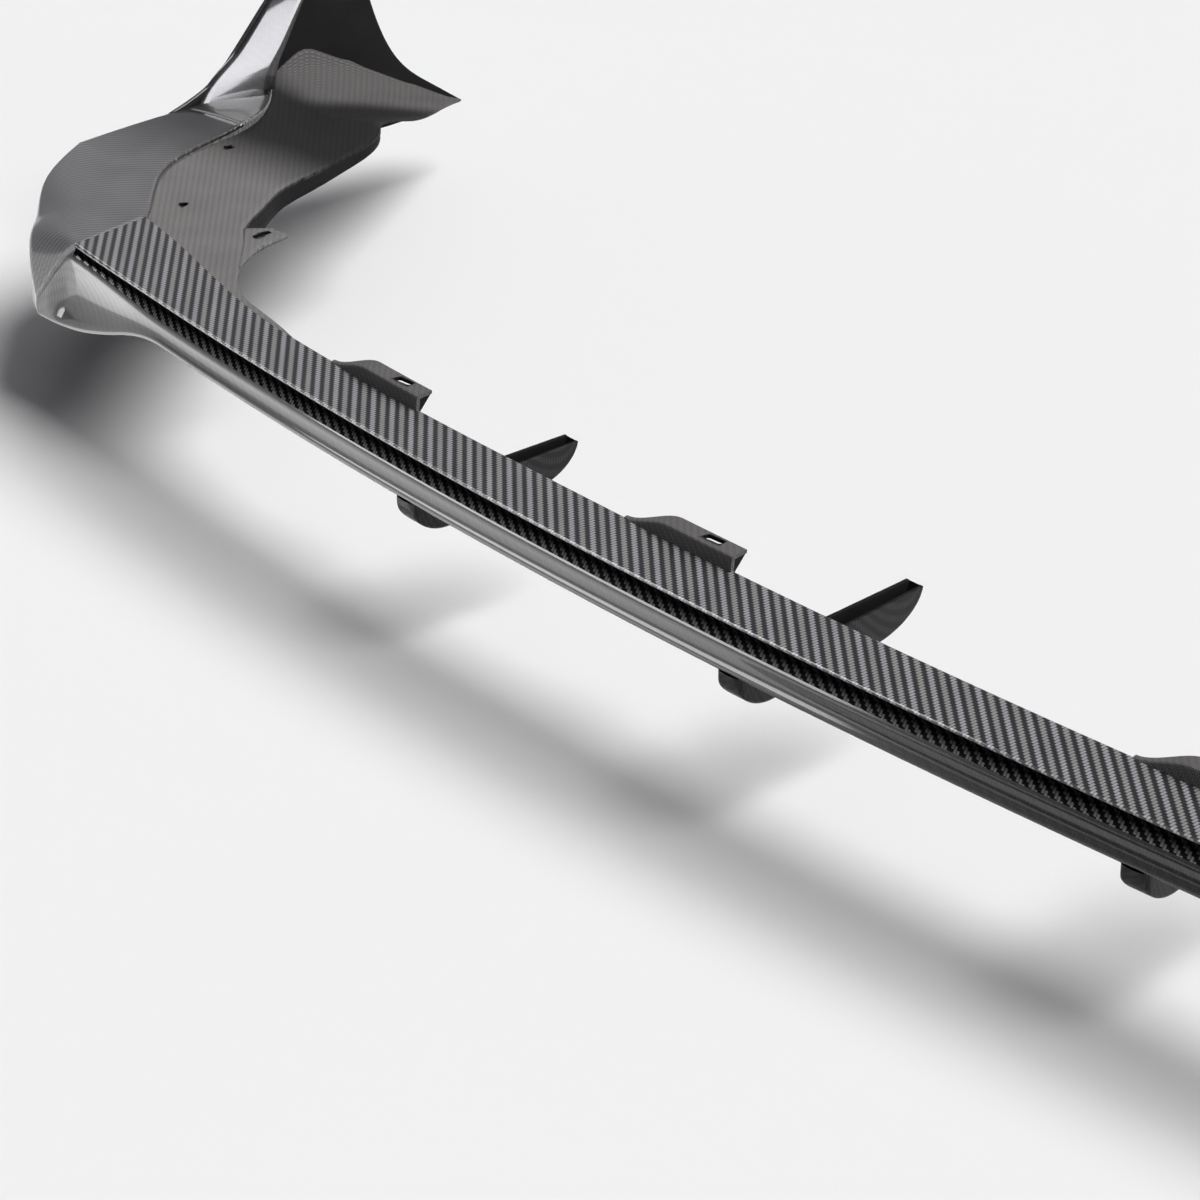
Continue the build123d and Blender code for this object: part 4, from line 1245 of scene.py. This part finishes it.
def build_strake(name, place):
    """Strake: a U-shaped section carried forward. Its half width narrows evenly and closes round the
    nose as a quarter circle; its depth grows as a quarter ellipse and fades at the front."""
    depth_full = bpy.context.scene.lip_sizes.strake_depth
    fold = float(fold_line(place))
    length = FIN_FRONT - fold
    rear = -BAND_OUT
    slope = FOLD_POWER * fold / place if place else 0.0
    yaw = math.atan(slope)
    nose = rear + FIN_NOSE * (1.0 - np.cos(np.linspace(0.0, math.pi / 2, 22)))
    middle = np.linspace(rear + FIN_NOSE, length - FIN_SWEEP, 12)
    front = length - FIN_SWEEP * (1.0 - np.sin(np.linspace(0.0, math.pi / 2, 20)))
    along = np.concatenate((nose, middle[1:], front[1:]))
    half = FIN_REAR_WIDTH + (FIN_FRONT_WIDTH - FIN_REAR_WIDTH) * (along - rear) / (length - rear)
    near = np.clip((along - rear) / FIN_BOW, 0.0, 1.0)
    half = half / 2 - FIN_BOW * (1.0 - np.sqrt(1.0 - (1.0 - near) ** 2))
    start = np.clip((along - rear) / FIN_NOSE, 0.0, 1.0)
    finish = np.clip((length - along) / FIN_SWEEP, 0.0, 1.0)
    depth = depth_full * np.sqrt(1.0 - (1.0 - start) ** 2) * np.sqrt(1.0 - (1.0 - finish) ** 2)
    depth = np.maximum(depth, FIN_LEAST)
    inside = np.maximum(half - FIN_WALL, FIN_LEAST_INSIDE)
    hollow = np.maximum(depth - FIN_WALL, FIN_LEAST_HOLLOW)
    rows = [(-half, 0 * half), (-half, -depth), (half, -depth), (half, 0 * half),
            (inside, 0 * half), (inside, -hollow), (-inside, -hollow), (-inside, 0 * half)]
    corners = section(rows)
    outline = rounded_outline(corners, FIN_CUTS)
    side = outline[:, :, 0]
    x = place + side * math.cos(yaw) - along[:, None] * math.sin(yaw)
    forward = fold + side * math.sin(yaw) + along[:, None] * math.cos(yaw)
    points = lip_terms(x, forward, outline[:, :, 1] - LIP_HEIGHT)
    cloth = on_cloth(along[:, None], around(outline))
    marks = np.arange(outline.shape[1]) >= 4 * CORNER_POINTS
    materials = [finishes()["strake cloth"], finishes()["rough back"]]
    piece = build_piece(name + "_shell", points, cloth, materials, closed=True, marks=marks)
    return mount(piece, name)


def softbox(name, direction, distance, width, height, radiance, colour):
    """Lamp that shows only in glossy surfaces, seen from the part in a direction at a brightness."""
    lamp = bpy.data.lights.new(name, "AREA")
    lamp.shape = "RECTANGLE"
    lamp.size = width
    lamp.size_y = height
    lamp.energy = radiance * math.pi * width * height
    lamp.color = colour
    holder = bpy.data.objects.new(name, lamp)
    aim = Vector(direction).normalized()
    holder.location = aim * distance + Vector(SOFTBOX_TARGET)
    holder.rotation_euler = aim.to_track_quat("Z", "Y").to_euler()
    holder.visible_camera = False
    holder.visible_diffuse = False
    bpy.context.scene.collection.objects.link(holder)
    return holder


def build_studio():
    """Pale floor, background, lamps, a black flag that only glossy surfaces show, and the camera at
    the photograph's angle."""
    scene = bpy.context.scene
    look = scene.lip_studio
    reach = np.linspace(-FLOOR_REACH, FLOOR_REACH, 7)
    across, forward = np.meshgrid(reach, reach)
    points = np.stack((across, forward, np.full_like(across, look.floor_height)), axis=-1)
    material = bpy.data.materials.new("studio floor")
    material.use_nodes = True
    material.node_tree.nodes.clear()
    wiring = Wiring(material.node_tree)
    place = wiring.node("ShaderNodeTexCoord").outputs["Object"]
    mottle = wiring.node("ShaderNodeTexNoise", {"Vector": place, "Scale": 2.0, "Detail": 2.0})
    pale = (*look.floor_colour[:], 1.0)
    soft = tuple(FLOOR_MOTTLE * part for part in look.floor_colour[:]) + (1.0,)
    tint = wiring.mix(mottle.outputs[0], pale, soft)
    shader = wiring.node("ShaderNodeBsdfPrincipled", {
        "Base Color": tint, "Roughness": 0.9, "Specular IOR Level": 0.0,
    })
    wiring.node("ShaderNodeOutputMaterial", {0: shader.outputs[0]})
    floor = build_piece("studio_floor", points, points[:, :, :2], [material])

    world = bpy.data.worlds.new("studio")
    scene.world = world
    world.use_nodes = True
    world.node_tree.nodes.clear()
    wiring = Wiring(world.node_tree)
    seen = wiring.node("ShaderNodeLightPath").outputs["Is Camera Ray"]
    way = wiring.node("ShaderNodeTexCoord").outputs["Generated"]
    parts = wiring.node("ShaderNodeSeparateXYZ", {0: way}).outputs
    turned = wiring.math("MULTIPLY_ADD", parts[0], WALL_TURN, WALL_LEVEL)
    level = wiring.math("MULTIPLY", turned, look.ambient)
    grey = wiring.math("MAXIMUM", level, 0.0)
    bluer = wiring.math("MULTIPLY", grey, WALL_BLUE)
    walls = wiring.node("ShaderNodeCombineColor", {0: grey, 1: grey, 2: bluer})
    white = (look.background, look.background, look.background, 1.0)
    colour = wiring.mix(seen, walls.outputs[0], white)
    glow = wiring.node("ShaderNodeBackground", {0: colour, 1: 1.0})
    wiring.node("ShaderNodeOutputWorld", {0: glow.outputs[0]})

    for name, (angle, direction) in SUNS.items():
        sun = bpy.data.lights.new(name, "SUN")
        sun.energy = getattr(look, name)
        sun.angle = math.radians(angle)
        lamp = bpy.data.objects.new(name, sun)
        lamp.rotation_euler = Vector(direction).to_track_quat("Z", "Y").to_euler()
        scene.collection.objects.link(lamp)
    lamps = {name: softbox(name, *values) for name, values in SOFTBOXES.items()}
    panel = lamps["floor panel"]
    panel.location = (*PANEL_PLACE, look.floor_height + PANEL_LIFT)
    panel.rotation_euler = (math.pi, 0.0, math.radians(PANEL_TURN))

    across, forward = np.meshgrid(FLAG_ACROSS, FLAG_FORWARD)
    points = np.stack((across, forward, np.full_like(across, look.floor_height + FLAG_LIFT)), axis=-1)
    black = bpy.data.materials.new("flag cloth")
    black.use_nodes = True
    shader = black.node_tree.nodes["Principled BSDF"]
    shader.inputs["Base Color"].default_value = (0.01, 0.01, 0.01, 1.0)
    flag = build_piece("studio_flag", points, points[:, :, :2], [black])
    flag.visible_camera = False
    flag.visible_diffuse = False
    flag.visible_shadow = False

    camera = bpy.data.cameras.new("camera")
    camera.lens = CAMERA_LENS
    camera.sensor_width = 36.0
    holder = bpy.data.objects.new("camera", camera)
    holder.location = CAMERA_PLACE
    holder.rotation_euler = (math.radians(CAMERA_TILT), 0.0, math.radians(CAMERA_TURN))
    scene.collection.objects.link(holder)
    scene.camera = holder
    scene.view_settings.view_transform = "Standard"


class LIP_OT_strip(bpy.types.Operator):
    """Build the long strip with its fold, recess and rolled lip"""

    bl_idname = "bumper_lip.strip"
    bl_label = "Strip"

    def execute(self, context):
        build_strip()
        return {"FINISHED"}


class LIP_OT_corners(bpy.types.Operator):
    """Build the noses, blades and uprights of both corners"""

    bl_idname = "bumper_lip.corners"
    bl_label = "Corners"

    def execute(self, context):
        build_noses()
        build_blades()
        build_uprights()
        return {"FINISHED"}


class LIP_OT_flanges(bpy.types.Operator):
    """Build the mounting flanges with their steps, returns, side tabs and holes"""

    bl_idname = "bumper_lip.flanges"
    bl_label = "Mounting flanges"

    def execute(self, context):
        build_flanges()
        return {"FINISHED"}


class LIP_OT_tabs(bpy.types.Operator):
    """Build the raised tabs along the strip"""

    bl_idname = "bumper_lip.tabs"
    bl_label = "Raised tabs"

    def execute(self, context):
        build_tabs()
        return {"FINISHED"}


class LIP_OT_strakes(bpy.types.Operator):
    """Build the five strakes under the lip"""

    bl_idname = "bumper_lip.strakes"
    bl_label = "Strakes"

    def execute(self, context):
        for name, place in FIN_PLACES.items():
            build_strake(name, place)
        return {"FINISHED"}


class LIP_OT_studio(bpy.types.Operator):
    """Build the floor, the background, the lamps and the camera"""

    bl_idname = "bumper_lip.studio"
    bl_label = "Studio"

    def execute(self, context):
        build_studio()
        return {"FINISHED"}


OPERATORS = (LIP_OT_strip, LIP_OT_corners, LIP_OT_flanges, LIP_OT_tabs, LIP_OT_strakes, LIP_OT_studio)


class LIP_PT_panel(bpy.types.Panel):
    """Sizes, finish and pieces of the bumper lip"""

    bl_idname = "LIP_PT_panel"
    bl_label = "Rear Bumper Lip"
    bl_space_type = "VIEW_3D"
    bl_region_type = "UI"
    bl_category = "Bumper Lip"

    def draw(self, context):
        for settings in (context.scene.lip_sizes, context.scene.lip_finish, context.scene.lip_studio):
            box = self.layout.box()
            for name in settings.__annotations__:
                box.prop(settings, name)
        for operator in OPERATORS:
            self.layout.operator(operator.bl_idname)


GROUPS = {"lip_sizes": LipSizes, "lip_finish": LipFinish, "lip_studio": StudioLook}


def register():
    for group in GROUPS.values():
        bpy.utils.register_class(group)
    for name, group in GROUPS.items():
        setattr(bpy.types.Scene, name, bpy.props.PointerProperty(type=group))
    for kind in (*OPERATORS, LIP_PT_panel):
        bpy.utils.register_class(kind)


def unregister():
    for kind in (LIP_PT_panel, *reversed(OPERATORS)):
        bpy.utils.unregister_class(kind)
    for name, group in GROUPS.items():
        delattr(bpy.types.Scene, name)
        bpy.utils.unregister_class(group)


def main():
    """Registers the add-on and builds every piece in order."""
    register()
    bpy.ops.bumper_lip.strip()
    bpy.ops.bumper_lip.corners()
    bpy.ops.bumper_lip.flanges()
    bpy.ops.bumper_lip.tabs()
    bpy.ops.bumper_lip.strakes()
    bpy.ops.bumper_lip.studio()


if __name__ == "__main__":
    main()
